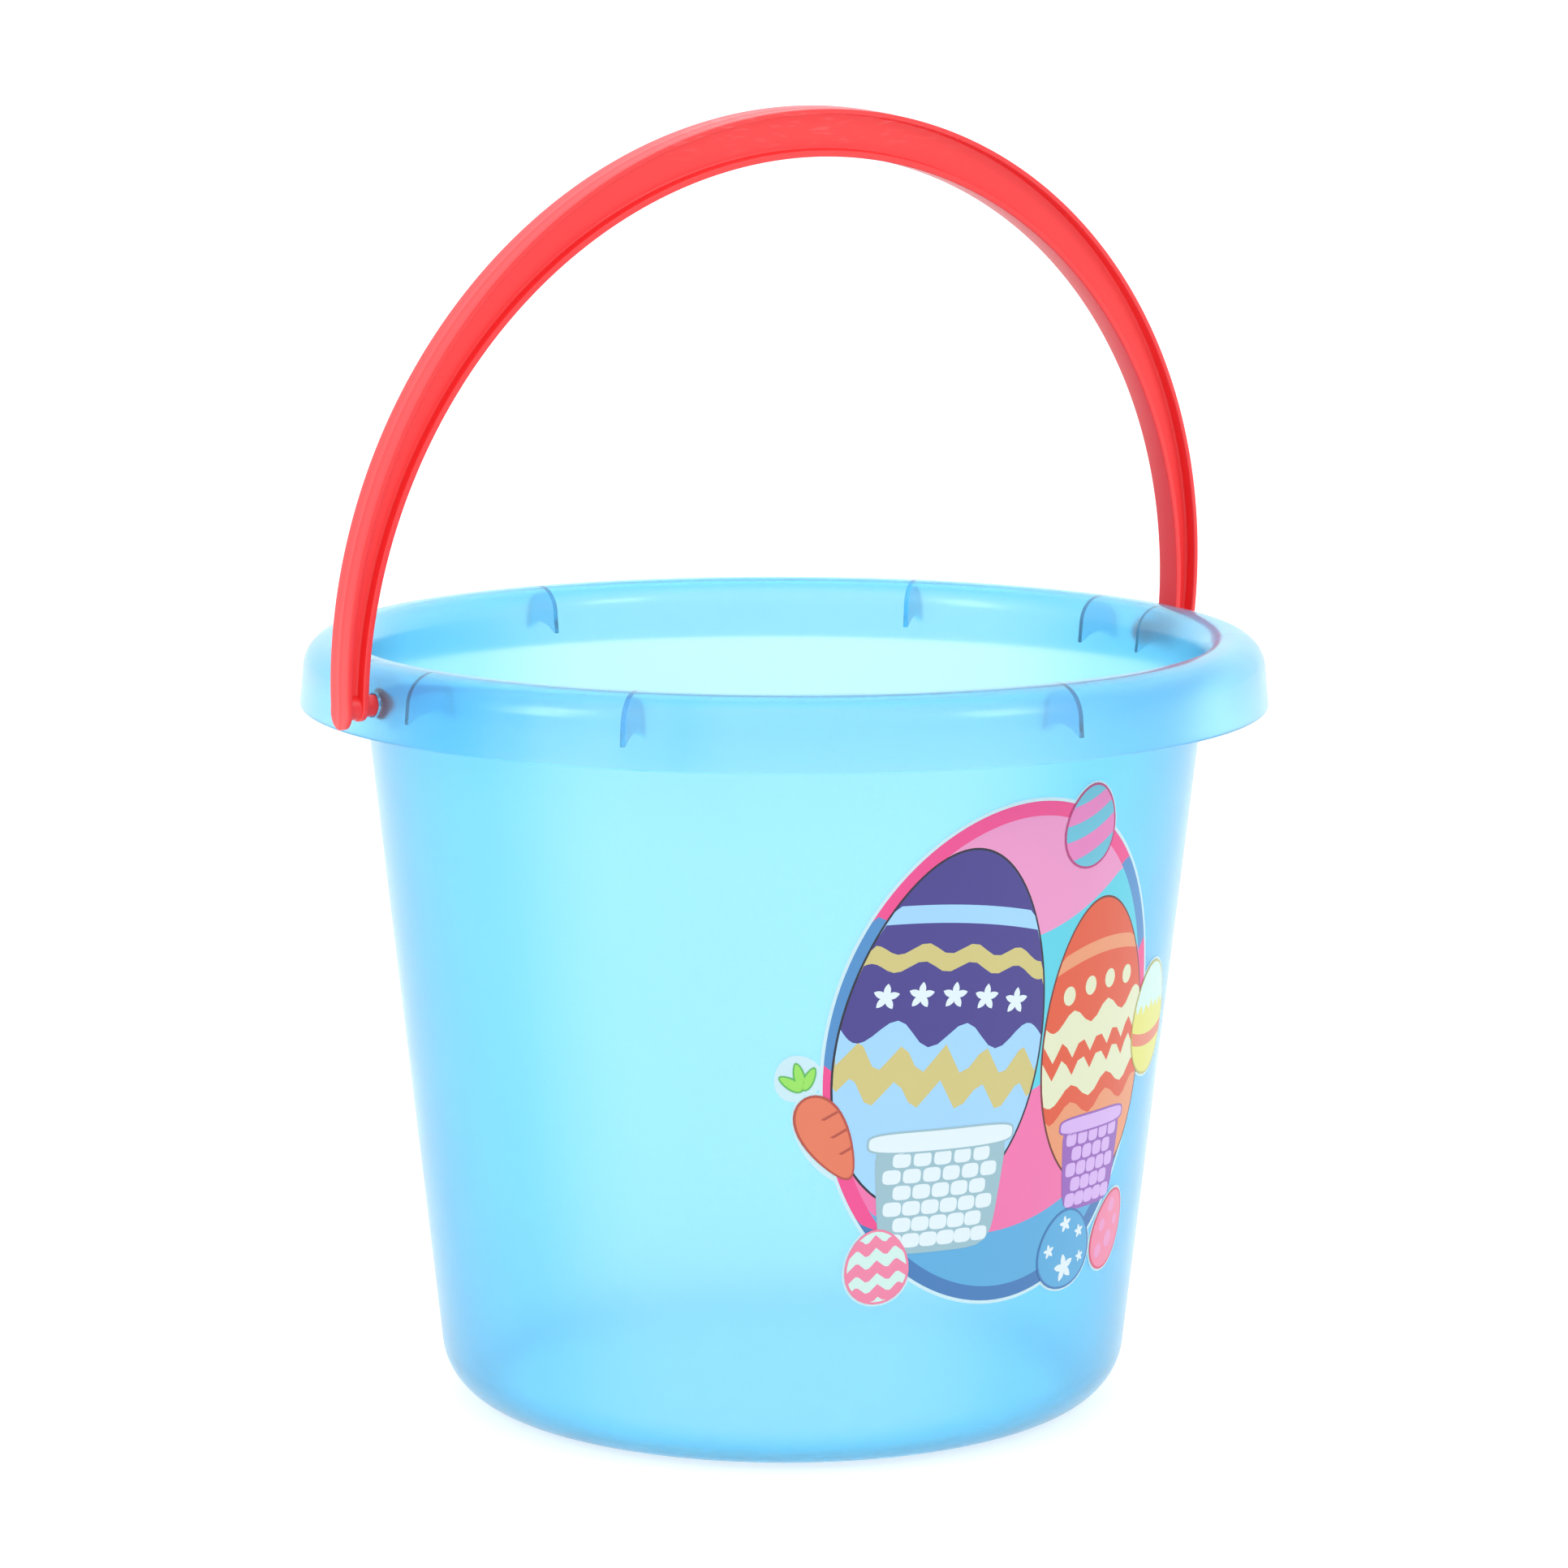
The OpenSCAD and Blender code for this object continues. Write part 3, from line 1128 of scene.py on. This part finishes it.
def wave(middle: float, slope: float = 0.0, bow: float = 0.0, swing: float = 0.0,
         turns: float = 0.0) -> Callable[[Array], Array]:
    """A stripe's waved edge: middle + slope * p + bow * p^2 + swing * sin(turns * 180 degrees * p).

    Args:
        middle: Its height at the middle line.
        slope: How far it climbs.
        bow: How far its ends bend up.
        swing: Height of its waves.
        turns: Number of half waves from the middle to an end.

    Returns:
        The edge's height q as a function of p.
    """
    return lambda p: middle + slope * p + bow * p**2 + swing * np.sin(turns * math.pi * p)


def zigzag(middle: float, swing: float, teeth: float) -> Callable[[Array], Array]:
    """A stripe's zigzag edge: middle + swing * a triangle wave.

    Args:
        middle: Its middle height.
        swing: Height of its teeth above and below that.
        teeth: Number of teeth from one side of the motif to the other.

    Returns:
        The edge's height q as a function of p.
    """
    return lambda p: middle + swing * (np.abs((p * teeth / 2) % 1 - 0.5) * 4 - 1)


@dataclass
class Label:
    """Oval film with an egg hunt: a striped ground, two big eggs in woven baskets and small eggs.

    Every colour is a closed slab that follows the wall's cone. Slabs lie one above another in
    levels a hundredth of a millimetre apart, inside the film's thickness.
    """

    bucket: Bucket
    width: float = 97.0
    height: float = 119.0
    drop: float = 10.6
    seat: float = 0.015
    base: float = 0.10
    step: float = 0.011
    slab: float = 0.016
    spacing: float = 2.0
    margin: float = 0.8
    ring: float = 3.4
    outline: float = 0.5
    thin_line: float = 0.55
    parts: list[Surface] = field(default_factory=list)
    inks: list[Array] = field(default_factory=list)

    @property
    def middle(self) -> float:
        """Height of the film's centre."""
        return self.bucket.skirt_z - self.drop - self.height / 2

    def on_wall(self, places: Array, lift: float) -> Array:
        """Lays places on the wall's cone.

        r = wall radius at the height, a = u / r, point = ((r + lift) sin a, -(r + lift) cos a, z).

        Args:
            places: Places (u, v) on the film.
            lift: How far they stand out from the wall.

        Returns:
            One point for each place.
        """
        z = self.middle + places[..., 1]
        r = self.bucket.wall_r(z)
        a = places[..., 0] / r
        return np.stack([(r + lift) * np.sin(a), -(r + lift) * np.cos(a), z], axis=-1)

    def lifts(self, level: int) -> tuple[float, float]:
        """Heights of the underside and the top of a level above the wall."""
        top = self.base + self.step * level
        return (self.seat if level == 0 else top - self.slab), top

    def add(self, surface: Surface, ink: Ink) -> None:
        """Keeps a slab and its colour."""
        self.parts.append(surface)
        self.inks.append(np.tile(ink.linear, (len(surface.points), 1)))

    def disc(self, motif: Motif, level: int, ink: Ink, grow: float = 0.0) -> None:
        """Fills a motif: rings that grow from its middle to its edge, above and below.

        Args:
            motif: The shape.
            level: Its level in the print.
            ink: Its colour.
            grow: How far it is grown beyond its size, in millimetres.
        """
        across = max(motif.size)
        rings = max(2, round(across / 2 / self.spacing))
        sides_per_step, fewest, fewest_square, most, star_sides = 3.2, 16, 32, 180, 8
        least = fewest if motif.power == 2 else fewest_square
        sides = int(np.clip(round(sides_per_step * across / self.spacing), least, most))
        if motif.points:
            sides = motif.points * star_sides
        rho = np.linspace(1 / rings, 1, rings)[:, None, None]
        edge = motif.edge(np.arange(sides) * FULL_TURN / sides)[None]
        places = motif.place(*np.moveaxis(rho * edge, -1, 0), grow=grow)
        low, top = self.lifts(level)
        middle = motif.place(np.zeros(1), np.zeros(1), grow=grow)
        upper, under = self.on_wall(places, top), self.on_wall(places, low)[::-1]
        rows = np.concatenate([upper, under]).reshape(-1, 3)
        poles = np.concatenate([self.on_wall(middle, top), self.on_wall(middle, low)])
        first = np.arange(sides)
        last = first + (2 * rings - 1) * sides
        self.add(Surface(
            np.concatenate([rows, poles]),
            grid_quads(2 * rings, sides, wrap_cols=True)[:, ::-1],
            np.concatenate([fan(len(rows), first), fan(len(rows) + 1, last[::-1])]),
        ), ink)

    def stripe(self, motif: Motif, level: int, ink: Ink, low: Callable[[Array], Array],
               high: Callable[[Array], Array], grow: float = 0.0) -> None:
        """Fills the part of a motif between two lines, clipped by the motif's edge.

        Args:
            motif: The shape.
            level: The stripe's level in the print.
            ink: Its colour.
            low: Its lower edge q as a function of p.
            high: Its upper edge.
            grow: How far the motif is grown beyond its size.
        """
        cols_per_step, fewest, most, almost_all, thinnest = 1.4, 24, 72, 0.9995, 1e-4
        cols = int(np.clip(round(cols_per_step * motif.size[0] / self.spacing), fewest, most))
        p = np.sin(np.linspace(-math.pi / 2, math.pi / 2, cols + 1)) * almost_all
        reach = motif.reach(p)
        ends = [np.clip(curve(p), -reach, reach) for curve in (low, high)]
        keep = ends[1] - ends[0] > thinnest
        if not keep.any():
            return
        span = slice(max(np.argmax(keep) - 1, 0), len(p) - max(np.argmax(keep[::-1]) - 1, 0))
        p, ends = p[span], [end[span] for end in ends]
        tall = motif.size[1] * np.max(ends[1] - ends[0]) / 2
        rows = max(2, round(tall / self.spacing) + 1)
        share = np.linspace(0, 1, rows)[None]
        q = ends[0][:, None] * (1 - share) + ends[1][:, None] * share
        places = motif.place(np.broadcast_to(p[:, None], q.shape), q, grow=grow)
        under, top = self.lifts(level)
        loop = np.concatenate([self.on_wall(places, top),
                               self.on_wall(places, under)[:, ::-1]], axis=1)
        self.add(capped(loop), ink)

    def ground(self) -> None:
        """The oval's ring and its wavy stripes, each a darker shade in the ring."""
        size = (self.width - 2 * self.margin, self.height - 2 * self.margin)
        oval = Motif((0, 0), size, narrow=0.0)
        lines = [wave(-2), wave(-0.755, 0.08, 0.31), wave(-0.20, 0.21, 0.42),
                 wave(0.48, 0.12, 0.33), wave(2)]
        ring = (Ink.DEEP_BLUE, Ink.HOT_PINK, Ink.RING_BLUE, Ink.HOT_PINK)
        fill = (Ink.BLUE, Ink.PINK, Ink.CYAN, Ink.PALE_PINK)
        for low, high, dark, light in zip(lines, lines[1:], ring, fill):
            self.stripe(oval, 1, dark, low, high)
            self.stripe(oval, 2, light, low, high, grow=-self.ring)

    def big_eggs(self) -> None:
        """Two tall decorated eggs that stand in the baskets."""
        dark = Motif((-19, 7), (51, 84), tilt=-6)
        self.disc(dark, 3, Ink.OUTLINE, grow=self.outline)
        self.disc(dark, 4, Ink.NAVY)
        self.stripe(dark, 5, Ink.SKY, wave(-1.2), wave(-0.02, 0, 0, 0.07, 3))
        self.stripe(dark, 6, Ink.TAN, zigzag(-0.36, 0.09, 5), zigzag(-0.16, 0.09, 5))
        self.stripe(dark, 5, Ink.SKY, wave(0.60, 0, -0.05), wave(0.70, 0, -0.05))
        self.stripe(dark, 5, Ink.TAN, wave(0.36, 0, -0.05, 0.03, 4), wave(0.46, 0, -0.05, 0.03, 4))
        for turn in range(5):
            p = -0.66 + 0.33 * turn
            star = dark.child(p, 0.20 - 0.06 * p * p, (6.4, 6.4), narrow=0.0, points=5, dent=0.58)
            self.disc(star, 6, Ink.WHITE)
        bright = Motif((27, -1), (39, 69), tilt=5)
        self.disc(bright, 3, Ink.RUST, grow=self.outline)
        self.disc(bright, 4, Ink.ORANGE)
        self.stripe(bright, 5, Ink.CREAM, wave(-0.30, 0, 0, 0.06, 3), wave(0.22, 0, 0, 0.06, 3))
        self.stripe(bright, 5, Ink.PEACH, wave(-1.2), wave(-0.42, 0, 0, 0.06, 3))
        self.stripe(bright, 6, Ink.ORANGE, zigzag(-0.10, 0.07, 6), zigzag(0.02, 0.07, 6))
        self.stripe(bright, 5, Ink.PEACH, wave(0.62, 0, -0.1), wave(0.72, 0, -0.1))
        for turn in range(4):
            p = -0.6 + 0.4 * turn
            self.disc(bright.child(p, 0.42 - 0.08 * p * p, (4, 4.6), narrow=0.0), 6, Ink.CREAM)

    def basket(self, centre: tuple[float, float], size: tuple[float, float], rows: int, cols: int,
               line: Ink, fill: Ink, level: int = 7) -> None:
        """A woven basket: rows of strands laid like bricks, with a rim across its top.

        Args:
            centre: Place on the film.
            size: Width and height.
            rows: Rows of strands.
            cols: Strands in a row.
            line: Colour of the outline and the gaps.
            fill: Colour of the strands.
            level: Lowest level of its print.
        """
        lowest, woven, across = -0.80, 1.42, 0.94
        strand_wide, strand_high = 0.86 * size[0] / cols, 0.63 * size[1] / (rows - 1)
        body = Motif(centre, size, narrow=-0.10, power=6)
        self.disc(body, level, line, grow=self.outline)
        for row in range(rows):
            q = lowest + woven * row / (rows - 1)
            for col in range(cols - row % 2):
                p = (2 * (col + 0.5 + 0.5 * (row % 2)) / cols - 1) * across
                strand = body.child(p, q, (strand_wide, strand_high), narrow=0.0, power=3.5)
                self.disc(strand, level + 1, fill)
        rim = body.child(0, 0.93, (size[0] * 1.2, size[1] * 0.17), narrow=0.0, power=4)
        self.disc(rim, level + 2, line, grow=self.outline)
        self.disc(rim, level + 3, fill)

    def small_egg(self, motif: Motif, line: Ink, fill: Ink, level: int = 10) -> Motif:
        """Prints an egg with a thin outline, ready for its pattern.

        Args:
            motif: Its shape.
            line: Colour of the outline.
            fill: Colour inside it.
            level: Lowest level of its print.

        Returns:
            The shape, for the pattern to be laid on.
        """
        self.disc(motif, level, line)
        self.disc(motif, level + 1, fill, grow=-self.thin_line)
        return motif

    def small_eggs(self) -> None:
        """The eggs that overlap the ring, each with a pattern of its own."""
        tall = self.small_egg(Motif((17.5, 51.2), (17, 20), tilt=-6), Ink.PLUM, Ink.ROSE)
        for low in (-1.1, -0.16, 0.72):
            self.stripe(tall, 12, Ink.AQUA, wave(low, 0.42, 0.12), wave(low + 0.42, 0.42, 0.12),
                        grow=-self.thin_line)
        sharp = self.small_egg(Motif((-32, -47.6), (15, 18), tilt=6), Ink.CORAL, Ink.MINT)
        for low in (-0.98, -0.30, 0.42):
            self.stripe(sharp, 12, Ink.CORAL, zigzag(low, 0.13, 3), zigzag(low + 0.36, 0.13, 3),
                        grow=-self.thin_line)
        starry = self.small_egg(Motif((20.4, -50), (19, 19.5)), Ink.DEEP_BLUE, Ink.BLUE)
        for p, q, size in ((-0.05, 0.62, 4.2), (0.55, 0.35, 3.4), (-0.6, 0.02, 3.6),
                           (0.02, -0.48, 7), (0.62, -0.3, 3)):
            self.disc(starry.child(p, q, (size, size), narrow=0.0, points=5, dent=0.6, tilt=12),
                      12, Ink.WHITE)
        spotted = self.small_egg(Motif((38.8, -48.8), (14, 20), tilt=-26), Ink.RED_PINK, Ink.CORAL)
        for p, q, size in ((-0.2, 0.55, 3), (0.4, 0.3, 2.2), (-0.45, 0.0, 2.6), (0.25, -0.2, 3.6),
                           (-0.2, -0.6, 3)):
            self.disc(spotted.child(p, q, (size, size * 1.2), narrow=0.0), 12, Ink.PALE_PINK)
        hatched = self.small_egg(Motif((53.8, 0), (22.6, 27.8)), Ink.GOLD, Ink.YELLOW)
        self.stripe(hatched, 12, Ink.MINT, zigzag(0.22, 0.12, 6), wave(1.2), grow=-self.thin_line)
        self.stripe(hatched, 12, Ink.CARROT, wave(-0.5, 0, 0.12), wave(-0.28, 0, 0.12),
                    grow=-self.thin_line)

    def carrot(self) -> None:
        """A carrot with three short creases and a tuft of three leaves that fan from one place."""
        tuft, leaf_width = (-51.9, -5.4), 2.8
        for turn, length in ((150, 6.6), (68, 6.0), (108, 7.0)):
            a = math.radians(turn)
            place = (tuft[0] + length / 2 * math.cos(a), tuft[1] + length / 2 * math.sin(a))
            leaf = Motif(place, (leaf_width, length), tilt=turn - 90, narrow=0.2)
            self.disc(leaf, 7, Ink.GREEN)
            self.disc(leaf, 8, Ink.LEAF, grow=-0.4)
        root = Motif((-45.6, -16.7), (10.6, 22.6), tilt=211, narrow=0.34)
        self.disc(root, 9, Ink.BRICK)
        self.disc(root, 10, Ink.CARROT, grow=-self.thin_line)
        for q in (-0.45, 0.0, 0.42):
            self.stripe(root, 11, Ink.BRICK, wave(q), lambda p, q=q: q + 0.06 * (p < -0.2),
                        grow=-0.6)

    def film(self) -> None:
        """The clear margin that the print stands on: an oval, five eggs, a carrot and its leaves."""
        w, h = self.width, self.height
        self.disc(Motif((0, 0), (w, h), narrow=0.0), 0, Ink.FILM)
        for x, y, width, height, tilt in (
                (0.18, 0.43, 18, 21, -6), (-0.33, -0.40, 16, 19, 6), (0.21, -0.42, 20, 20.5, 0),
                (0.40, -0.41, 15, 21, -26), (0.555, 0, 24, 29, 0), (-0.47, -0.14, 12.5, 24, 211),
                (-0.55, -0.02, 11, 11, 30)):
            self.disc(Motif((x * w, y * h), (width, height), tilt), 0, Ink.FILM)

    def build(self) -> bpy.types.Object:
        """Prints the whole film and puts it in place of the plain solid.

        Returns:
            The finished object.
        """
        self.film()
        self.ground()
        self.big_eggs()
        self.basket((-18, -31), (30, 27), 6, 6, Ink.GREY_BLUE, Ink.WHITE)
        self.basket((28, -30), (21, 21), 5, 5, Ink.PURPLE, Ink.LILAC)
        self.carrot()
        self.small_eggs()
        whole = joined(self.parts)
        obj = make_object("printed_label", Surface(whole.points * MM, whole.quads, whole.triangles), 60)
        paint(obj, PrintedFilm.ink, np.concatenate(self.inks))
        obj.data.materials.append(PrintedFilm().build())
        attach(obj, "bucket")
        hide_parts("label")
        return obj


# ---------------------------------------------------------------------------
# Finishes
# ---------------------------------------------------------------------------


@dataclass(frozen=True)
class TranslucentPlastic:
    """Light blue polypropylene: light passes through it blurred and takes on its colour. Its melt
    clouds gather on the -X side as a painted shade there.

    The skin's tint is painted deeper where the wall is seen edge on, a painted shade for the longer way
    light takes through it.
    """

    tint: tuple[float, float, float] = (0.91, 0.930, 1.0)
    # Deeper colour of the melt clouds, also the colour of the painted shade on the -X side.
    cloud: tuple[float, float, float] = (0.40, 0.820, 1.0)
    depth_colour: tuple[float, float, float] = (0.05, 0.900, 1.0)
    depth_density: float = 360.0
    roughness: float = 0.20
    ior: float = 1.49
    gloss: float = 0.12
    transmission: float = 0.9
    # Painted shade: the lean and its bias gather the deeper clouds on the -X side.
    drift: tuple[float, float, float] = (-5.0, 0.0, 0.0)
    shade_side_bias: float = -0.58
    clouding: float = 0.9
    # Painted shade: the deeper colour mixed in where the wall is seen edge on, over this range of
    # facing, up to this share.
    painted_edge_shade: tuple[float, float, float] = (0.10, 0.680, 1.0)
    edge_shade_facing: tuple[float, float] = (0.10, 0.36)
    edge_shade_share: float = 0.45
    wear_and_highlight_colour: tuple[float, float, float] = (0.97, 0.99, 1.0)
    wear_and_highlight_height: float = 0.003
    wear_and_highlight_reach: float = 0.006
    wear_and_highlight_amount: float = 0.35
    wander: float = 0.10
    bump: float = 0.05
    grain: float = 0.00004

    def build(self) -> bpy.types.Material:
        """Makes the material: a rough glass skin over a volume that absorbs red.

        Returns:
            The material, with its shader in place.
        """
        material, shader, vector = new_material("translucent_blue_plastic")
        tree = material.node_tree
        # Melt clouds, leaned onto the -X side as a painted shade.
        clouds_and_side_shade = placed(tree, Effects.melt_mottle(), vector, Colour=self.tint,
                        Second_colour=self.cloud, Amount=self.clouding, Drift=self.drift,
                        Bias=self.shade_side_bias)
        wear_and_highlight = placed(tree, Effects.rubbed_band(), vector, Middle_height=self.wear_and_highlight_height,
                     Half_width=self.wear_and_highlight_reach, Amount=self.wear_and_highlight_amount)
        # Painted shade: deeper colour by the angle at which the wall is seen.
        view = tree.nodes.new("ShaderNodeLayerWeight")
        edge = stepped(tree, view.outputs["Facing"], *self.edge_shade_facing, to_high=self.edge_shade_share)
        edge_shaded = mixed(tree, edge, clouds_and_side_shade.outputs["Colour"], self.painted_edge_shade)
        colour = mixed(tree, wear_and_highlight.outputs["Share"], edge_shaded, self.wear_and_highlight_colour)
        tree.links.new(colour, shader.inputs["Base Color"])
        give_skin(material, shader, vector, self.roughness, self.wander, self.bump, self.grain)
        shader.inputs["IOR"].default_value = self.ior
        shader.inputs["Specular IOR Level"].default_value = self.gloss
        shader.inputs["Transmission Weight"].default_value = self.transmission
        depth = tree.nodes.new("ShaderNodeVolumeAbsorption")
        depth.inputs["Color"].default_value = (*self.depth_colour, 1)
        depth.inputs["Density"].default_value = self.depth_density
        tree.links.new(depth.outputs["Volume"], tree.nodes["Material Output"].inputs["Volume"])
        return material


@dataclass(frozen=True)
class RedPlastic:
    """Red polypropylene as it leaves the mould, with a painted pale tint towards the handle's thin feet
    for the blue bucket's light that shows in them, and painted highlight streaks across its crown.
    """

    colour: tuple[float, float, float] = (0.96, 0.036, 0.036)
    cloud: tuple[float, float, float] = (0.90, 0.026, 0.028)
    # Painted light: the feet's paler colour, for the bucket's blue light that shows in them.
    pale: tuple[float, float, float] = (0.88, 0.065, 0.068)
    clouding: float = 0.7
    foot_light_height: float = 0.174
    foot_light_fade: tuple[float, float] = (-0.005, 0.004)
    foot_light_share: float = 0.75
    # Painted highlight: pale streaks across the handle's crown.
    wear_and_highlight_colour: tuple[float, float, float] = (0.95, 0.30, 0.29)
    wear_and_highlight_height: float = 0.306
    wear_and_highlight_reach: float = 0.012
    wear_and_highlight_amount: float = 0.18
    roughness: float = 0.36
    ior: float = 1.49
    wander: float = 0.14
    bump: float = 0.18
    grain: float = 0.00005

    def build(self) -> bpy.types.Material:
        """Makes the material.

        Returns:
            The material, with its shader in place.
        """
        material, shader, vector = new_material("red_plastic")
        tree = material.node_tree
        clouds_and_side_shade = placed(tree, Effects.melt_mottle(), vector, Colour=self.colour,
                        Second_colour=self.cloud, Amount=self.clouding)
        split = tree.nodes.new("ShaderNodeSeparateXYZ")
        tree.links.new(vector, split.inputs["Vector"])
        # Painted light: paler below the pegs' height, where the bucket's light shows in the thin feet.
        low, high = (self.foot_light_height + fade for fade in self.foot_light_fade)
        foot = stepped(tree, split.outputs["Z"], low, high, self.foot_light_share, 0.0)
        colour = mixed(tree, foot, clouds_and_side_shade.outputs["Colour"], self.pale)
        # Painted highlight streaks across the crown.
        wear_and_highlight = placed(tree, Effects.rubbed_band(), vector, Middle_height=self.wear_and_highlight_height,
                     Half_width=self.wear_and_highlight_reach, Amount=self.wear_and_highlight_amount)
        with_painted_highlight = mixed(tree, wear_and_highlight.outputs["Share"], colour, self.wear_and_highlight_colour)
        tree.links.new(with_painted_highlight, shader.inputs["Base Color"])
        give_skin(material, shader, vector, self.roughness, self.wander, self.bump, self.grain)
        shader.inputs["IOR"].default_value = self.ior
        return material


@dataclass(frozen=True)
class PrintedFilm:
    """Satin film whose ink colour is carried by the mesh and printed in thick and thin coats."""

    ink: str = "ink"
    coats: tuple[float, float] = (0.76, 0.70)
    clouding: float = 0.6
    roughness: float = 0.34
    ior: float = 1.5
    wander: float = 0.12
    bump: float = 0.25
    grain: float = 0.00003

    def build(self) -> bpy.types.Material:
        """Makes the material.

        Returns:
            The material, with its shader in place.
        """
        material, shader, vector = new_material("printed_film")
        tree = material.node_tree
        inked = tree.nodes.new("ShaderNodeAttribute")
        inked.attribute_name = self.ink
        printed = []
        for strength in self.coats:
            coat = tree.nodes.new("ShaderNodeHueSaturation")
            coat.inputs["Value"].default_value = strength
            tree.links.new(inked.outputs["Color"], coat.inputs["Color"])
            printed.append(coat.outputs["Color"])
        clouds_and_side_shade = placed(tree, Effects.melt_mottle(), vector, Colour=printed[0],
                        Second_colour=printed[1], Amount=self.clouding)
        tree.links.new(clouds_and_side_shade.outputs["Colour"], shader.inputs["Base Color"])
        give_skin(material, shader, vector, self.roughness, self.wander, self.bump, self.grain)
        shader.inputs["IOR"].default_value = self.ior
        return material


# ---------------------------------------------------------------------------
# Studio
# ---------------------------------------------------------------------------


@dataclass
class Studio:
    """Camera, floor and light. Lengths are in metres."""

    turn: float = 35.4
    distance: float = 1.265
    eye_height: float = 0.3506
    pitch: float = 9.139
    roll: float = 0.15
    focal_share: float = 3.4182
    sensor: float = 36.0
    floor_size: float = 30.0
    near_clip: float = 0.05
    far_clip: float = 100.0
    aim_height: float = 0.12
    table_grey: float = 0.5
    table_roughness: float = 0.8
    table_glow: float = 0.62
    surround: float = 1.05
    key_turn: float = 150.0
    key_rise: float = 65.0
    key_edges: tuple[float, float] = (-0.9, 0.9)
    dim: float = 0.72
    bright: float = 1.55
    cool: tuple[float, float, float] = (0.82, 0.95, 1.0)
    bounces: int = 28

    def camera(self) -> None:
        """Places the camera round the bucket's axis and points it slightly down."""
        data = bpy.data.cameras.new("camera")
        data.sensor_width = self.sensor
        data.lens = self.sensor * self.focal_share
        data.clip_start, data.clip_end = self.near_clip, self.far_clip
        obj = bpy.data.objects.new("camera", data)
        bpy.context.scene.collection.objects.link(obj)
        turn = math.radians(self.turn)
        place = (-self.distance * math.sin(turn), -self.distance * math.cos(turn), self.eye_height)
        obj.matrix_world = (
            Matrix.Translation(place) @ Matrix.Rotation(-turn, 4, "Z")
            @ Matrix.Rotation(math.radians(90 - self.pitch), 4, "X")
            @ Matrix.Rotation(math.radians(self.roll), 4, "Z")
        )
        bpy.context.scene.camera = obj

    def floor(self) -> None:
        """Lays a plain white floor, a light table that glows evenly, under the bucket."""
        h = self.floor_size / 2
        corners = np.array([[-h, -h, 0], [h, -h, 0], [h, h, 0], [-h, h, 0]])
        obj = make_object("floor", Surface(corners, np.array([[0, 1, 2, 3]])))
        material = bpy.data.materials.new("pale_floor")
        material.use_nodes = True
        shader = material.node_tree.nodes["Principled BSDF"]
        shader.inputs["Base Color"].default_value = (*[self.table_grey] * 3, 1)
        shader.inputs["Roughness"].default_value = self.table_roughness
        shader.inputs["Emission Color"].default_value = (1, 1, 1, 1)
        shader.inputs["Emission Strength"].default_value = self.table_glow
        obj.data.materials.append(material)

    def softbox(self, name: str, turn: float, rise: float, size: tuple[float, float],
                power: float, reach: float = 1.6) -> None:
        """Hangs a rectangular soft light that faces the bucket.

        Args:
            name: Name of the light.
            turn: Where it stands round the bucket, in degrees from the front.
            rise: Its height in degrees above level.
            size: Its width and height.
            power: Its power in watts.
            reach: Its distance from the bucket.
        """
        data = bpy.data.lights.new(name, "AREA")
        data.shape, data.size, data.size_y, data.energy = "RECTANGLE", *size, power
        obj = bpy.data.objects.new(name, data)
        bpy.context.scene.collection.objects.link(obj)
        a, e = math.radians(turn), math.radians(rise)
        aim = Matrix.Translation((0, 0, self.aim_height))
        away = aim @ Matrix.Rotation(a, 4, "Z") @ Matrix.Rotation(math.pi / 2 - e, 4, "X")
        obj.matrix_world = away @ Matrix.Translation((0, 0, reach))

    def backdrop(self) -> None:
        """Surroundings whose cool white light is stronger from behind and above.

        Brightness = dim + (bright - dim) * smooth step of the direction's share along the key
        direction. The camera itself sees plain white.
        """
        world = bpy.data.worlds.new("studio")
        world.use_nodes = True
        tree = world.node_tree
        ground = tree.nodes["Background"]
        way = tree.nodes.new("ShaderNodeVectorMath")
        way.operation = "DOT_PRODUCT"
        a, e = math.radians(self.key_turn), math.radians(self.key_rise)
        way.inputs[1].default_value = (
            math.sin(a) * math.cos(e), -math.cos(a) * math.cos(e), math.sin(e))
        tree.links.new(tree.nodes.new("ShaderNodeTexCoord").outputs["Generated"], way.inputs[0])
        glow = stepped(tree, way.outputs["Value"], *self.key_edges, self.dim, self.bright)
        seen = tree.nodes.new("ShaderNodeLightPath").outputs["Is Camera Ray"]
        tree.links.new(mixed(tree, seen, self.cool, (1, 1, 1)), ground.inputs["Color"])
        strength = maths(tree, "MAXIMUM", maths(tree, "MULTIPLY", seen, self.surround), glow)
        tree.links.new(strength, ground.inputs["Strength"])
        bpy.context.scene.world = world

    def light(self) -> None:
        """The backdrop, two soft lights and light paths long enough to cross every wall and rib."""
        self.backdrop()
        bpy.context.scene.view_settings.view_transform = "Standard"
        self.softbox("left_softbox", turn=-95, rise=30, size=(0.4, 0.7), power=4)
        self.softbox("right_softbox", turn=20, rise=35, size=(0.4, 0.5), power=2.5)
        paths = bpy.context.scene.cycles
        paths.max_bounces = paths.transmission_bounces = self.bounces

    def build(self) -> None:
        """Sets up the whole studio."""
        self.camera()
        self.floor()
        self.light()


def main() -> None:
    """Builds the studio, the bucket, its handle and its label, and reports each piece."""
    logging.basicConfig(level=logging.INFO, format="%(name)s: %(message)s")
    Studio().build()
    bucket = Bucket()
    for obj in (bucket.build(), Handle(bucket).build(), Label(bucket).build()):
        LOG.info("%s: %d faces", obj.name, len(obj.data.polygons))


if __name__ == "__main__":
    main()
